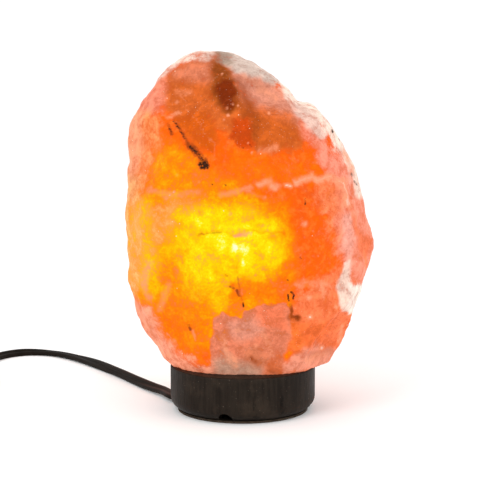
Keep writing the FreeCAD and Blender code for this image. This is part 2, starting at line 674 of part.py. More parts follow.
def bulb():
    """A small screw-cap bulb: glass, cap, insulator, contact, stem, lead wires, filament."""
    crest = "bulb_cap_diameter / 2"
    outside = thread_rings(CAP_FOOT, crest, int(mm("bulb_cap_turns")), first="in")
    inside = thread_rings(CAP_FOOT, "(%s - bulb_cap_wall)" % crest, int(mm("bulb_cap_turns")), first="in")
    finished(turned("bulb_shell", outside + inside[::-1]), "bulb_cap")

    cap_root = "(%s - thread_depth)" % crest
    finished(turned("insulator", (
        ("0", BULB_FOOT + " + bulb_foot_height / 4"),
        ("bulb_contact_diameter / 2", BULB_FOOT + " + bulb_foot_height / 4"),
        (cap_root, CAP_FOOT), ("0", CAP_FOOT))), "bulb_insulator")
    finished(turned("solder", (
        ("0", BULB_FOOT), ("bulb_contact_diameter / 4", BULB_FOOT),
        ("bulb_contact_diameter / 2", BULB_FOOT + " + bulb_foot_height / 4"),
        ("0", BULB_FOOT + " + bulb_foot_height / 4"))), "bulb_contact")

    glass_foot = "(%s - bulb_neck_depth)" % CAP_TOP
    neck = "(%s - bulb_cap_wall - 2 * push_gap)" % cap_root
    # Height along the glass, and how far it has swollen from the neck towards the full width.
    swell = ((0, 0), (0.16, 0), (0.28, 0.42), (0.40, 0.82), (0.52, 1), (0.64, 0.95),
             (0.76, 0.70), (0.86, 0.30))
    tip = ((0.94, 0.55), (0.985, 0.25))

    def glass_wall(thinner):
        wall = [("%s + (bulb_diameter / 2 - %s) * %.2f - %s" % (neck, neck, share, thinner),
                 "%s + bulb_glass_length * %.2f" % (glass_foot, along)) for along, share in swell]
        wall += [("%s * %.2f" % (neck, share),
                  "%s + bulb_glass_length * %.3f - %s" % (glass_foot, along, thinner))
                 for along, share in tip]
        return wall + [("0", "%s + bulb_glass_length - %s" % (glass_foot, thinner))]

    finished(turned("glass", glass_wall("0") + glass_wall("bulb_wall")[::-1]), "bulb_glass")

    stem_top = "(%s + bulb_glass_length * 0.36)" % glass_foot
    finished(turned("stem", (
        ("0", glass_foot), ("%s - bulb_wall" % neck, glass_foot),
        ("%s / 2" % neck, glass_foot + " + bulb_glass_length * 0.16"),
        ("%s / 3" % neck, stem_top), ("0", stem_top))), "bulb_stem")

    leads = []
    filament_height = "(%s + bulb_glass_length * 0.56 + lead_diameter)" % glass_foot
    lead_rise = 0.20
    lean = math.atan2(mm("filament_radius") - mm("lead_foot"), lead_rise * mm("bulb_glass_length"))
    for i, side in enumerate((-1, 1)):
        lead = doc.addObject("Part::Cylinder", "lead_%d" % (i + 1))
        bind(lead, Radius="lead_diameter / 2",
             Height="bulb_glass_length * %.9f" % (lead_rise / math.cos(lean)))
        lead.Placement = Placement(Vector(), Rotation(Vector(0, 1, 0), side * math.degrees(lean)))
        lead.setExpression("Placement.Base.x", formula("%d * lead_foot" % side))
        lead.setExpression("Placement.Base.z", formula(stem_top + " + lead_diameter / 4"))
        leads.append(lead)
    finished(group("leads", leads), "bulb_lead_wires")

    arch = doc.addObject("Part::Torus", "filament_arch")
    bind(arch, Radius1="filament_radius", Radius2="filament_diameter / 2")
    arch.Angle3 = 180
    arch.Placement = Placement(Vector(), Rotation(Vector(1, 0, 0), 90))
    arch.setExpression("Placement.Base.z", formula(filament_height))
    finished(arch, "bulb_filament")


# ---------------------------------------------------------------- flat twin flex

def arc_over(start, corner, end):
    """The arc tangent to both runs of a corner, from start to end, both as far from the corner."""
    middle = (start + end) * 0.5
    rise = corner - middle
    half_turn = (corner - start).getAngle(end - start)
    bulge = math.cos(half_turn) / (1 + math.cos(half_turn))
    return Part.Arc(start, middle + rise * bulge, end).toShape()


def route_wire(points, name):
    """Straight runs joined by tangent arcs; the radius is 0.45 of the shorter run over tan(half turn)."""
    edges = []
    radii = []
    reached = points[0]
    for before, corner, after in zip(points, points[1:], points[2:]):
        run_in = corner - before
        run_out = after - corner
        trim = 0.45 * min(run_in.Length, run_out.Length)
        radii.append(trim / math.tan(run_in.getAngle(run_out) / 2))
        start = corner - run_in.normalize() * trim
        end = corner + run_out.normalize() * trim
        edges.append(Part.LineSegment(reached, start).toShape())
        edges.append(arc_over(start, corner, end))
        reached = end
    edges.append(Part.LineSegment(reached, points[-1]).toShape())
    if radii:
        print(name, "radii", " ".join("%.0f" % radius for radius in radii))
    return Part.Wire(edges)


def biarc(start, heading, end, leaving):
    """Two arcs that join start to end and keep both directions."""
    gap = end - start
    both = heading + leaving
    a = 2 * (1 - heading.dot(leaving))
    b = 2 * gap.dot(both)
    c = -gap.dot(gap)
    reach = (-b + math.sqrt(b * b - 4 * a * c)) / (2 * a) if a > 1e-9 else -c / b
    first = start + heading * reach
    second = end - leaving * reach
    middle = (first + second) * 0.5
    return [arc_over(start, first, middle), arc_over(middle, second, end)]


def flat_section(across, tall):
    """A flat oval about the origin: two half circles and two straight sides, across X and along Y."""
    radius = min(across, tall) / 2
    x = across / 2 - radius
    y = tall / 2 - radius
    if x > y:
        ends = ((Vector(x, -radius, 0), Vector(x + radius, 0, 0), Vector(x, radius, 0)),
                (Vector(-x, radius, 0), Vector(-x - radius, 0, 0), Vector(-x, -radius, 0)))
    else:
        ends = ((Vector(radius, y, 0), Vector(0, y + radius, 0), Vector(-radius, y, 0)),
                (Vector(-radius, -y, 0), Vector(0, -y - radius, 0), Vector(radius, -y, 0)))
    return Part.Wire([
        Part.Arc(*ends[0]).toShape(), Part.LineSegment(ends[0][2], ends[1][0]).toShape(),
        Part.Arc(*ends[1]).toShape(), Part.LineSegment(ends[1][2], ends[0][0]).toShape()])


def flex_along(wire, heading, across, tall, steady):
    """The flex along a wire; across is its level size where steady is Z, the side kept upright."""
    level = steady.cross(heading).normalize()
    section = flat_section(across, tall)
    turn = FreeCAD.Matrix(level.x, steady.x, heading.x, 0, level.y, steady.y, heading.y, 0,
                          level.z, steady.z, heading.z, 0, 0, 0, 0, 1)
    section.Placement = Placement(turn)
    section.translate(wire.Vertexes[0].Point)
    shell = Part.BRepOffsetAPI.MakePipeShell(wire)
    shell.setBiNormalMode(steady)
    shell.add(section)
    shell.build()
    shell.makeSolid()
    solid = shell.shape()
    face = Part.Face(section)
    print("   length %.1f, volume / (section x length) %.4f"
          % (wire.Length, solid.Volume / (face.Area * wire.Length)))
    return solid


def flex_piece(name, wire, heading, across, tall, steady=UP):
    """One stretch of flex as a finished sub-part."""
    print(name)
    piece = doc.addObject("Part::Feature", name)
    piece.Shape = flex_along(wire, heading, across, tall, steady)
    return finished(piece, name)


def towards(azimuth):
    """The level unit vector at an azimuth."""
    return Vector(math.cos(math.radians(azimuth)), math.sin(math.radians(azimuth)), 0)


def flex_on_table():
    """All stretches of the flex, from the holder to the plug."""
    wide = mm("flex_width")
    thin = mm("flex_thickness")
    out = towards(mm("exit_azimuth"))
    groove = UP * (mm("felt_thickness") + mm("push_gap") + thin / 2)
    bend = mm("flex_bend")
    holder_foot = mm("felt_thickness") + mm("base_height") + mm("holder_lift")
    top = UP * (holder_foot + mm("end_cap_thickness") + mm("end_cap_spigot"))
    low = groove + UP * bend
    along = groove + out * bend
    inner = Part.Wire([
        Part.LineSegment(top, low).toShape(),
        arc_over(low, groove, along),
        Part.LineSegment(along, groove + out * mm("flex_inner_end")).toShape()])
    steady = UP.cross(out)
    flex_piece("flex_in_base", inner, UP * -1, thin, wide, steady)

    # On the table the flex lies flat; where it rises to the dimmer it does so in a slow ramp.
    flat = thin / 2
    inlet = Vector(mm("dimmer_inlet_x"), mm("dimmer_inlet_y"), mm("dimmer_height") / 2)
    onward = towards(mm("dimmer_azimuth"))
    run = [groove + out * mm("flex_inner_end"),
           groove + out * 52,
           Vector(-61, 30.3, flat),
           Vector(-73.5, 58, flat),
           Vector(-97, 99.5, flat),
           Vector(-126, 146, flat),
           Vector(-152, 175, flat),
           Vector(-178, 179, flat),
           Vector(-197, 163, flat),
           Vector(-202.5, 138, 2.6),
           inlet - onward * 15,
           inlet]
    flex_piece("flex_run", route_wire(run, "flex_run"), run[1] - run[0], wide, thin)

    # Past the dimmer the flex turns on edge, as it does in a coil, and comes down to the table.
    edge = wide / 2
    outlet = inlet + onward * (mm("dimmer_length") + 2 * mm("grip_length"))
    coil = coil_stations()
    link = [outlet, outlet + onward * 10,
            coil[0][0] - coil[0][1] * 14, coil[0][0]]
    flex_piece("flex_link", route_wire(link, "flex_link"), onward, thin, wide)

    edges = []
    for (start, heading), (end, leaving) in zip(coil, coil[1:]):
        edges += biarc(start, heading, end, leaving)
    wound = Part.Wire(edges)
    flex_piece("flex_coil", wound, coil[0][1], thin, wide)
    print("   least gap between turns %.2f" % least_gap())

    plug = Vector(mm("plug_x"), mm("plug_y"), mm("plug_body_height") / 2)
    into = towards(mm("plug_azimuth"))
    tail = [coil[-1][0], coil[-1][0] + coil[-1][1] * 16,
            Vector(-304, -4, edge), plug - into * 16, plug]
    flex_piece("flex_tail", route_wire(tail, "flex_tail"), coil[-1][1], thin, wide)


COIL_HALF_TURNS = 11
COIL_PITCH = mm("flex_thickness") + mm("coil_turn_gap")
COIL_LAYER_PITCH = mm("flex_width") + mm("coil_layer_gap")


def coil_place(turn):
    """Centre of the flex after so many turns: in on the lower layer, out on the upper one."""
    reverse = COIL_HALF_TURNS / 4
    quarter = 1 / 4
    radius = mm("coil_outer_radius") - COIL_PITCH * (reverse - abs(turn - reverse))
    rise = max(-1, min(1, (turn - reverse) / quarter))
    climb = (1 + rise * (2 - abs(rise))) / 2
    height = (mm("tie_thickness") + mm("tie_gap") + mm("flex_width") / 2
              + climb * COIL_LAYER_PITCH)
    angle = -2 * math.pi * turn
    return Vector(mm("coil_x") + radius * math.cos(angle), mm("coil_y") + radius * math.sin(angle),
                  height)


def coil_stations():
    """Places and directions of the flex at every quarter turn of the coil."""
    stations = []
    step = 1e-4
    for i in range(2 * COIL_HALF_TURNS + 1):
        turn = i / 4
        ahead = coil_place(turn + step) - coil_place(turn - step)
        if i in (0, 2 * COIL_HALF_TURNS):
            ahead.x = 0
        stations.append((coil_place(turn), ahead.normalize()))
    return stations


def least_gap():
    """Least gap between the coil's turns, on points of the centre line half a turn or more apart."""
    thin = mm("flex_thickness")
    tall = mm("flex_width") - thin
    half_turn = 36
    places = [coil_place(i / half_turn / 2) for i in range(half_turn * COIL_HALF_TURNS + 1)]
    least = math.inf
    for i, one in enumerate(places):
        for other in places[i + half_turn:]:
            apart = other - one
            level = math.hypot(apart.x, apart.y)
            least = min(least, math.hypot(level, max(0, abs(apart.z) - tall)) - thin)
    return least


def coil_tie():
    """A closed strap round all turns, at the front of the coil."""
    thin = mm("flex_thickness")
    outer_radius = mm("coil_outer_radius") - COIL_PITCH / 4
    turns_each_way = (COIL_HALF_TURNS - 1) // 4
    inner_radius = outer_radius - turns_each_way * COIL_PITCH
    room = Vector(mm("tie_width"),
                  outer_radius - inner_radius + thin + 2 * mm("tie_gap") + mm("tie_slack"),
                  mm("flex_width") + COIL_LAYER_PITCH + 2 * mm("tie_gap"))
    middle = Vector(mm("coil_x"), mm("coil_y") - (outer_radius + inner_radius) / 2,
                    mm("tie_thickness"))
    strap = mm("tie_thickness")
    outside = Part.makeBox(room.x, room.y + 2 * strap, room.z + 2 * strap,
                           middle - Vector(room.x / 2, room.y / 2 + strap, strap))
    along_x = [edge for edge in outside.Edges if abs(edge.tangentAt(edge.FirstParameter).x) > 0.9]
    outside = outside.makeFillet(2 * strap, along_x)
    inside = Part.makeBox(2 * room.x, room.y, room.z, middle - Vector(room.x, room.y / 2, 0))
    along_x = [edge for edge in inside.Edges if abs(edge.tangentAt(edge.FirstParameter).x) > 0.9]
    inside = inside.makeFillet(strap, along_x)
    tie = doc.addObject("Part::Feature", "tie")
    tie.Shape = outside.cut(inside)
    finished(tie, "cord_tie")


# ---------------------------------------------------------------- dimmer

DIMMER_MIDDLE = "dimmer_length / 2 + grip_length"
WHEEL_SHIFT = "(dimmer_width / 2 + wheel_proud - wheel_diameter / 2)"
CASE_SCREW_X = "(dimmer_length / 2 - case_screw_end)"
CASE_SCREW_Y = "(dimmer_width / 2 - case_screw_side)"
CASE_SCREW_LENGTH = "(dimmer_height - dimmer_wall - case_screw_spare - case_screw_recess)"


def dimmer():
    """The in-line dimmer, drawn along X about its own middle, then laid in line with the flex."""
    pieces = dimmer_shells()
    pieces += dimmer_insides()
    for piece in pieces:
        middle_x = "dimmer_inlet_x + (%s) * cos(dimmer_azimuth)" % DIMMER_MIDDLE
        middle_y = "dimmer_inlet_y + (%s) * sin(dimmer_azimuth)" % DIMMER_MIDDLE
        stand(piece, middle_x, middle_y, 0, "dimmer_azimuth")


def rounded_case(name, foot, height, room):
    """Half of the case: a tray with round corners, hollowed by the room inside."""
    x = "dimmer_length / 2"
    y = "dimmer_width / 2"
    body = padded(name, "XY_Plane", (("-" + x, "-" + y), (x, "-" + y), (x, y), ("-" + x, y)), height)
    rounded(body, "dimmer_corner_radius", lambda edge: edge.BoundBox.ZLength > 1)
    rounded(body, "dimmer_edge_radius", at_height(0 if foot == "0" else mm("dimmer_height") / 2))
    body.setExpression("Placement.Base.z", formula(foot))
    return cut(name + "_tray", body, [room])


def case_room():
    """The room inside the two halves of the case."""
    x = "(dimmer_length / 2 - dimmer_wall)"
    y = "(dimmer_width / 2 - dimmer_wall)"
    body = padded("case_room", "XY_Plane", (("-" + x, "-" + y), (x, "-" + y), (x, y), ("-" + x, y)),
                  "dimmer_height - 2 * dimmer_wall")
    rounded(body, "dimmer_corner_radius - dimmer_wall", lambda edge: edge.BoundBox.ZLength > 1)
    body.setExpression("Placement.Base.z", formula("dimmer_wall"))
    return body


SPINDLE_TOP = "(dimmer_height - dimmer_wall - spindle_drop)"


def dimmer_shells():
    """Lower and upper shell, the screws that join them and the grips at both ends."""
    parting = "dimmer_height / 2"
    ceiling = "(dimmer_height - dimmer_wall)"
    room = case_room()
    lower = rounded_case("lower_case", "0", parting, room)
    upper = rounded_case("upper_case", parting, parting, room)

    def corner(side):
        return "%d * %s" % (side, CASE_SCREW_X), "%d * %s" % (side, CASE_SCREW_Y)

    lower_adds, lower_cuts, upper_adds, upper_cuts, screws = [], [], [], [], []
    for i, side in enumerate((-1, 1)):
        x, y = corner(side)
        tag = "_%d" % (i + 1)
        lower_adds.append(cylinder("lower_boss" + tag, "case_boss_diameter",
                                   "(%s) - dimmer_wall / 2" % parting, x, y, "dimmer_wall / 2"))
        upper_adds.append(cylinder("upper_boss" + tag, "case_boss_diameter",
                                   "(%s) - dimmer_wall / 2" % parting, x, y, parting))
        lower_cuts.append(cylinder("case_recess" + tag, "case_screw_head + 2 * push_gap",
                                   "case_screw_recess", x, y))
        lower_cuts.append(cylinder("case_hole" + tag, "case_screw_diameter + 2 * push_gap",
                                   "dimmer_height / 2", x, y))
        upper_cuts.append(cylinder("case_pilot" + tag, "case_screw_diameter + 2 * push_gap",
                                   "case_screw_recess + %s - %s + case_pilot_spare"
                                   % (CASE_SCREW_LENGTH, parting), x, y, parting))
        head = cylinder("case_head" + tag, "case_screw_head", "case_screw_head_height", x, y,
                        "case_screw_recess - case_screw_head_height")
        shank = cylinder("case_shank" + tag, "case_screw_diameter", CASE_SCREW_LENGTH, x, y,
                         "case_screw_recess")
        screws.append(joined("case_screw" + tag, [head, shank]))

    slot_height = "wheel_thickness + 2 * wheel_gap"
    for cuts, tag in ((lower_cuts, "lower"), (upper_cuts, "upper")):
        cuts.append(cylinder(tag + "_wheel_room", "wheel_diameter + 2 * wheel_gap", slot_height,
                             0, WHEEL_SHIFT, "(%s) - (%s) / 2" % (parting, slot_height)))
        for i, x in enumerate(("-dimmer_length / 2 - cutter_past",
                               "dimmer_length / 2 - dimmer_wall - cutter_past")):
            cuts.append(lying_cylinder("%s_port_%d" % (tag, i + 1), "grip_neck_diameter + 2 * push_gap",
                                       "dimmer_wall + 2 * cutter_past", x, "0", parting))
    upper_adds.append(cylinder("bearing_boss", "spindle_diameter + 2 * bearing_wall",
                               "%s + dimmer_wall / 2 - (%s) - (%s) / 2"
                               % (ceiling, parting, slot_height),
                               0, WHEEL_SHIFT, "(%s) + (%s) / 2" % (parting, slot_height)))
    upper_cuts.append(cylinder("bearing_hole", "spindle_diameter + 2 * spindle_gap",
                               SPINDLE_TOP + " + spindle_end_gap", 0, WHEEL_SHIFT, "0"))

    lower = finished(cut("lower_shell_cut", joined("lower_shell_solid", [lower] + lower_adds),
                         lower_cuts), "dimmer_lower_shell")
    upper = finished(cut("upper_shell_cut", joined("upper_shell_solid", [upper] + upper_adds),
                         upper_cuts), "dimmer_upper_shell")
    screws = finished(group("case_screws", screws), "dimmer_screws")
    return [lower, upper, screws, cord_grips()]


def cord_grips():
    """Two tapered rubber sleeves that hold the flex where it enters and leaves the case."""
    grips = []
    for i, side in enumerate((-1, 1)):
        grip = turned("grip_%d" % (i + 1), (
            ("0", "-grip_neck_length"), ("grip_neck_diameter / 2", "-grip_neck_length"),
            ("grip_neck_diameter / 2", "0"), ("grip_root_diameter / 2", "0"),
            ("grip_tip_diameter / 2", "grip_length"), ("0", "grip_length")))
        grip.Placement = Placement(Vector(), Rotation(Vector(0, 1, 0), side * 90))
        grip.setExpression("Placement.Base.x", formula("%d * dimmer_length / 2" % side))
        grip.setExpression("Placement.Base.z", formula("dimmer_height / 2"))
        grips.append(grip)
    return finished(group("grips", grips), "dimmer_cord_grips")


WHEEL_NOTCHES = 30


def dimmer_insides():
    """Circuit board, its components, the spindle and the thumb wheel."""
    board_foot = "dimmer_wall + board_lift"
    board_length = "(2 * (%s - case_boss_diameter / 2 - board_end_gap))" % CASE_SCREW_X
    board_width = "(dimmer_width - 2 * (dimmer_wall + board_side_gap))"
    board_top = "(dimmer_wall + board_lift + board_thickness)"
    wheel_foot = "(dimmer_height / 2 - wheel_thickness / 2)"
    board = finished(group("board", [
        box("board_slab", board_length, board_width, "board_thickness", z=board_foot)]),
        "dimmer_circuit_board")
    ring = cylinder("pot_body", "potentiometer_diameter",
                    wheel_foot + " - wheel_gap - " + board_top,
                    0, WHEEL_SHIFT, board_top)
    hole = cylinder("pot_hole", "spindle_diameter + 2 * spindle_gap", "dimmer_height",
                    0, WHEEL_SHIFT, board_top)
    pot = finished(cut("pot_cut", ring, [hole]), "dimmer_potentiometer")
    spindle = finished(group("spindle", [
        cylinder("spindle_rod", "spindle_diameter", SPINDLE_TOP + " - %s - board_lift" % board_top,
                 0, WHEEL_SHIFT, board_top + " + board_lift")]), "dimmer_spindle")
    triac = finished(group("triac", [
        box("triac_case", "triac_thickness", "triac_width", "triac_height",
            "(triac_thickness - %s) / 2 + part_inset" % board_length, "-(triac_width / 2)",
            board_top)]),
        "dimmer_triac")
    capacitor = finished(group("capacitor", [
        box("capacitor_case", "capacitor_thickness", "capacitor_width", "capacitor_height",
            "(%s - capacitor_thickness) / 2 - part_inset" % board_length, "-(capacitor_width / 3)",
            board_top)]), "dimmer_capacitor")

    disc = cylinder("wheel_disc", "wheel_diameter", "wheel_thickness", 0, WHEEL_SHIFT, wheel_foot)
    bore = cylinder("wheel_bore", "spindle_diameter", "dimmer_height", 0, WHEEL_SHIFT)
    notches = around("wheel_notch", lambda name, x, y: cylinder(
        name, "2 * wheel_tooth", "dimmer_height", x, WHEEL_SHIFT + " + " + y),
        WHEEL_NOTCHES, 0, "wheel_diameter")
    wheel = finished(cut("wheel_cut", disc, [group("wheel_cuts", [bore] + notches)]), "dimmer_wheel")
    return [board, pot, spindle, triac, capacitor, wheel]


# ---------------------------------------------------------------- plug

def plug():
    """A flat moulded plug with two blades, lying on the table."""
    long, wide, neck = "plug_body_length", "plug_body_width / 2", "plug_neck_width / 2"
    start = "plug_sleeve_length"
    body = padded("plug_block", "XY_Plane", (
        (start, "-" + neck), ("%s + %s / 2" % (start, long), "-" + wide),
        ("%s + %s" % (start, long), "-" + wide), ("%s + %s" % (start, long), wide),
        ("%s + %s / 2" % (start, long), wide), (start, neck)), "plug_body_height")
    rounded(body, "plug_edge_radius", lambda edge: True)
    tall = "(flex_width + 2 * plug_sleeve_wall)"
    sleeve = box("plug_sleeve", "plug_sleeve_length + 2 * plug_edge_radius", "plug_sleeve_width", tall,
                 "plug_sleeve_length / 2 + plug_edge_radius", 0, "(plug_body_height - %s) / 2" % tall)
    blades, slots = [], []
    for i, side in enumerate((-1, 1)):
        y = "%d * blade_spacing / 2" % side
        reach = "(plug_sleeve_length + plug_body_length)"
        blades.append(box("blade_%d" % (i + 1), "blade_length + blade_root", "blade_thickness",
                          "blade_height", "%s - blade_root + (blade_length + blade_root) / 2" % reach,
                          y, "plug_body_height / 2 - blade_height / 2"))
        slots.append(box("blade_slot_%d" % (i + 1), "2 * blade_root + push_gap",
                         "blade_thickness + push_gap", "blade_height + push_gap",
                         reach, y, "plug_body_height / 2 - blade_height / 2 - push_gap / 2"))
    moulding = finished(cut("plug_cut", joined("plug_moulding", [body, sleeve]), slots), "plug_body")
    pair = finished(group("blade_pair", blades), "plug_blades")
    for piece in (moulding, pair):
        stand(piece, "plug_x", "plug_y", 0, "plug_azimuth")


# ---------------------------------------------------------------- build, check, write

wooden_base()
salt_lump()
base_fixings()
bulb_holder()
bulb()
flex_on_table()
coil_tie()
dimmer()
plug()

doc.recompute()
for thing in doc.Objects:
    if "Invalid" in thing.State or "Error" in thing.State:
        raise RuntimeError("%s is in a bad state: %s" % (thing.Label, thing.State))
for part in PARTS:
    if part.Shape.isNull() or not part.Shape.isValid():
        raise RuntimeError("%s has no valid shape" % part.Label)

os.makedirs("parts", exist_ok=True)
for part in PARTS:
    part.Shape.exportStep("parts/%s.step" % part.Label)
print(len(PARTS), "sub-parts")
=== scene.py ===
# %% [markdown]
# # A salt crystal lamp
# A hewn lump of rock salt stands on a turned wooden base. A small bulb inside lights it up. A flat
# black flex leaves the base at the back left and runs to a wheel dimmer, a coil and a plug.
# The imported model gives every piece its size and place. This script gives the pieces their looks.

# %% Load the frame
import json

import bpy
import numpy as np
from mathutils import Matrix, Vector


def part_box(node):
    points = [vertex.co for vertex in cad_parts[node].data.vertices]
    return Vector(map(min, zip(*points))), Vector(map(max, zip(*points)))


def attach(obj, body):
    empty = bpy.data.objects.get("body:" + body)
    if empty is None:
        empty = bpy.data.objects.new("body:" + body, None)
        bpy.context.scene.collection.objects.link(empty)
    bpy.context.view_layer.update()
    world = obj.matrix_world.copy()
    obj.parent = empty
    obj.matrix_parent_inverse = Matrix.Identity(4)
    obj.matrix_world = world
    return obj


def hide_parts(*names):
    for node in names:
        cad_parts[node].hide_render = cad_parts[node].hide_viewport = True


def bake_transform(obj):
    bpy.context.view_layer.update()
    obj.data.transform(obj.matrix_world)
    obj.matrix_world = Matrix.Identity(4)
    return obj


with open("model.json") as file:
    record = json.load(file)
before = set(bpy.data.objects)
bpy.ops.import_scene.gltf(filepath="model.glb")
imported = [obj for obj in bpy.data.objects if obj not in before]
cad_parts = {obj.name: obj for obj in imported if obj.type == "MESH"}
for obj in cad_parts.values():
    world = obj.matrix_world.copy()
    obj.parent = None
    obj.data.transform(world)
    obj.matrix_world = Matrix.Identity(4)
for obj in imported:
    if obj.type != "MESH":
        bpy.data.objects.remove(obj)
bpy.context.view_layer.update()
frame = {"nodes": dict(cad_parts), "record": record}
nodes = frame["nodes"]
MM = 0.001
print("pieces in the frame:", len(nodes))

# %% [markdown]
# ## The camera
# The photograph was taken from straight in front, a metre away and a little above the lamp. The
# ellipses of the base's two rims give the pitch, and the ratio of their widths the distance. The
# camera could be placed by eye, but with these numbers any point of the lamp can also be turned
# into a pixel of the photograph, which later puts the salt's patches where they belong.

# %% Place the camera
PHOTO_SIDE = 500  # pixels
FOCAL_PIXELS = 1473
CAMERA_AT = np.array([5.0, -1000.0, 246.8]) * MM
CAMERA_PITCH = np.radians(7.76)
FORWARD = np.array([0, np.cos(CAMERA_PITCH), -np.sin(CAMERA_PITCH)])
UPWARD = np.array([0, np.sin(CAMERA_PITCH), np.cos(CAMERA_PITCH)])

scene = bpy.context.scene
lens = bpy.data.cameras.new("camera")
lens.sensor_width = 36
lens.lens = lens.sensor_width * FOCAL_PIXELS / PHOTO_SIDE
camera = bpy.data.objects.new("camera", lens)
camera.location = CAMERA_AT
camera.rotation_euler = (np.pi / 2 - CAMERA_PITCH, 0, 0)
scene.collection.objects.link(camera)
scene.camera = camera
print("lens", round(lens.lens, 1), "mm")


def in_photo(points):
    """Pixel of each point: its sideways and upward distance from the axis, over its depth."""
    ray = points - CAMERA_AT
    depth = ray @ FORWARD
    across = PHOTO_SIDE / 2 + FOCAL_PIXELS * ray[:, 0] / depth
    down = PHOTO_SIDE / 2 - FOCAL_PIXELS * (ray @ UPWARD) / depth
    return across, down


# %% [markdown]
# ## Helpers for shaders
# A shader is a tree of nodes. Written out in full, each node takes many lines, so one helper adds
# a node, sets its options and sockets by name, and links whatever comes from another node. The
# small ones after it are the few steps that every finish here is made of: a noise, a stretched
# range, a product, a sum, and a mix of two colours. Sockets of one name, such as the Values of a
# Math node, are told apart by their identifiers, Value, Value_001 and Value_002.

# %% Shader helpers
def add(tree, kind, **settings):
    """Adds a node. A setting is an option of the node, or else one of its input sockets."""
    node = tree.nodes.new("ShaderNode" + kind)
    for name, value in settings.items():
        if name in node.bl_rna.properties:
            setattr(node, name, value)
            continue
        plain = name.replace("_", " ")
        sockets = [s for s in node.inputs if s.name == plain or s.identifier == name]
        socket = next((s for s in sockets if s.enabled), None) or sockets[0]
        feed(tree, socket, value)
    return node


def feed(tree, socket, value):
    """Links a node's output to a socket, or sets the socket's own value."""
    if isinstance(value, bpy.types.NodeSocket):
        tree.links.new(value, socket)
    elif isinstance(value, bpy.types.Node):
        tree.links.new(next(s for s in value.outputs if s.enabled), socket)
    else:
        socket.default_value = value


def new_material(name, **sockets):
    """A material with a Principled surface; sockets are set or linked by their names."""
    material = bpy.data.materials.new(name)
    material.use_nodes = True
    surface = material.node_tree.nodes["Principled BSDF"]
    for key, value in sockets.items():
        feed(material.node_tree, surface.inputs[key.replace("_", " ")], value)
    return material, material.node_tree, surface


def where(tree, scale=(1, 1, 1)):
    """Object coordinates in metres, scaled: every piece's object is at the origin."""
    return add(tree, "Mapping", Vector=add(tree, "TexCoord").outputs["Object"], Scale=scale)


def linear(red, green, blue):
    """A colour as read off a screen, 0 to 255, turned into the light it stands for."""
    value = np.array([red, green, blue]) / 255
    light = np.where(value <= 0.04045, value / 12.92, ((value + 0.055) / 1.055) ** 2.4)
    return (*light.tolist(), 1.0)


def between(tree, factor, first, second):
    """A colour that goes from first to second as factor goes from 0 to 1.

    Each is a node's colour, four numbers of light, or three numbers as read off a screen.
    """
    first, second = (linear(*colour) if isinstance(colour, tuple) and len(colour) == 3 else colour
                     for colour in (first, second))
    return add(tree, "Mix", data_type="RGBA", Factor=factor, A_Color=first,
               B_Color=second).outputs[2]


def spread(tree, value, low, high, to_low=0.0, to_high=1.0):
    """Stretches a value's range low..high to another, smoothly, and clamps it."""
    return add(tree, "MapRange", interpolation_type="SMOOTHSTEP", Value=value,
               From_Min=low, From_Max=high, To_Min=to_low, To_Max=to_high).outputs[0]


def product(tree, first, second):
    """One number times another."""
    return add(tree, "Math", operation="MULTIPLY", Value=first, Value_001=second).outputs[0]


def sum_of(tree, first, share, second):
    """first times share plus second."""
    return add(tree, "Math", operation="MULTIPLY_ADD", Value=first, Value_001=share,
               Value_002=second).outputs[0]


def scaled(tree, colour, share):
    """A colour made brighter or darker."""
    return add(tree, "VectorMath", operation="SCALE", Vector=colour, Scale=share).outputs[0]


def noise(tree, scale, detail, roughness=0.5, place=None, **more):
    """Cloudy noise round 0.5; scale is about the number of clouds in a metre."""
    if place is None:
        place = where(tree)
    return add(tree, "TexNoise", Vector=place, Scale=scale, Detail=detail, Roughness=roughness,
               **more).outputs[0]


def relief(tree, surface, height, distance, strength):
    """Tilts the light on a surface as if it rose and fell with height, distance metres at most."""
    feed(tree, surface.inputs["Normal"],
         add(tree, "Bump", Height=height, Distance=distance, Strength=strength))


# %% [markdown]
# ## Helpers for surfaces
# Every new piece is one sheet of points on a grid, worked out with numpy as whole arrays. The
# grid's rows run along the piece and its columns round it.

# %% Surface helper
def surface_piece(name, grid):
    """A mesh from a grid of points: rows x columns x 3, its columns a closed ring.

    Each square of four neighbouring points is a face. The first and last rows are closed by a
    fan round their middle point.
    """
    rows, columns = grid.shape[:2]
    points = np.concatenate([grid.reshape(-1, 3), [grid[0].mean(0), grid[-1].mean(0)]])
    first = np.arange(rows - 1)[:, None] * columns
    here = np.arange(columns)
    right = (here + 1) % columns
    quads = np.stack([first + here, first + right, first + columns + right,
                      first + columns + here], -1)
    last = (rows - 1) * columns
    first_fan = np.stack([right, here, np.full(columns, rows * columns)], -1)
    last_fan = np.stack([last + here, last + right, np.full(columns, rows * columns + 1)], -1)
    corners = np.concatenate([quads.ravel(), first_fan.ravel(), last_fan.ravel()])
    totals = np.repeat([4, 3], [(rows - 1) * columns, 2 * columns])
    mesh = bpy.data.meshes.new(name)
    mesh.vertices.add(len(points))
    mesh.vertices.foreach_set("co", points.ravel().astype(np.float32))
    mesh.loops.add(len(corners))
    mesh.loops.foreach_set("vertex_index", corners.astype(np.int32))
    mesh.polygons.add(len(totals))
    starts = np.concatenate([[0], np.cumsum(totals)[:-1]])
    mesh.polygons.foreach_set("loop_start", starts.astype(np.int32))
    mesh.update(calc_edges=True)
    mesh.polygons.foreach_set("use_smooth", np.full(len(totals), True))
    piece = bpy.data.objects.new(name, mesh)
    scene.collection.objects.link(piece)
    return piece


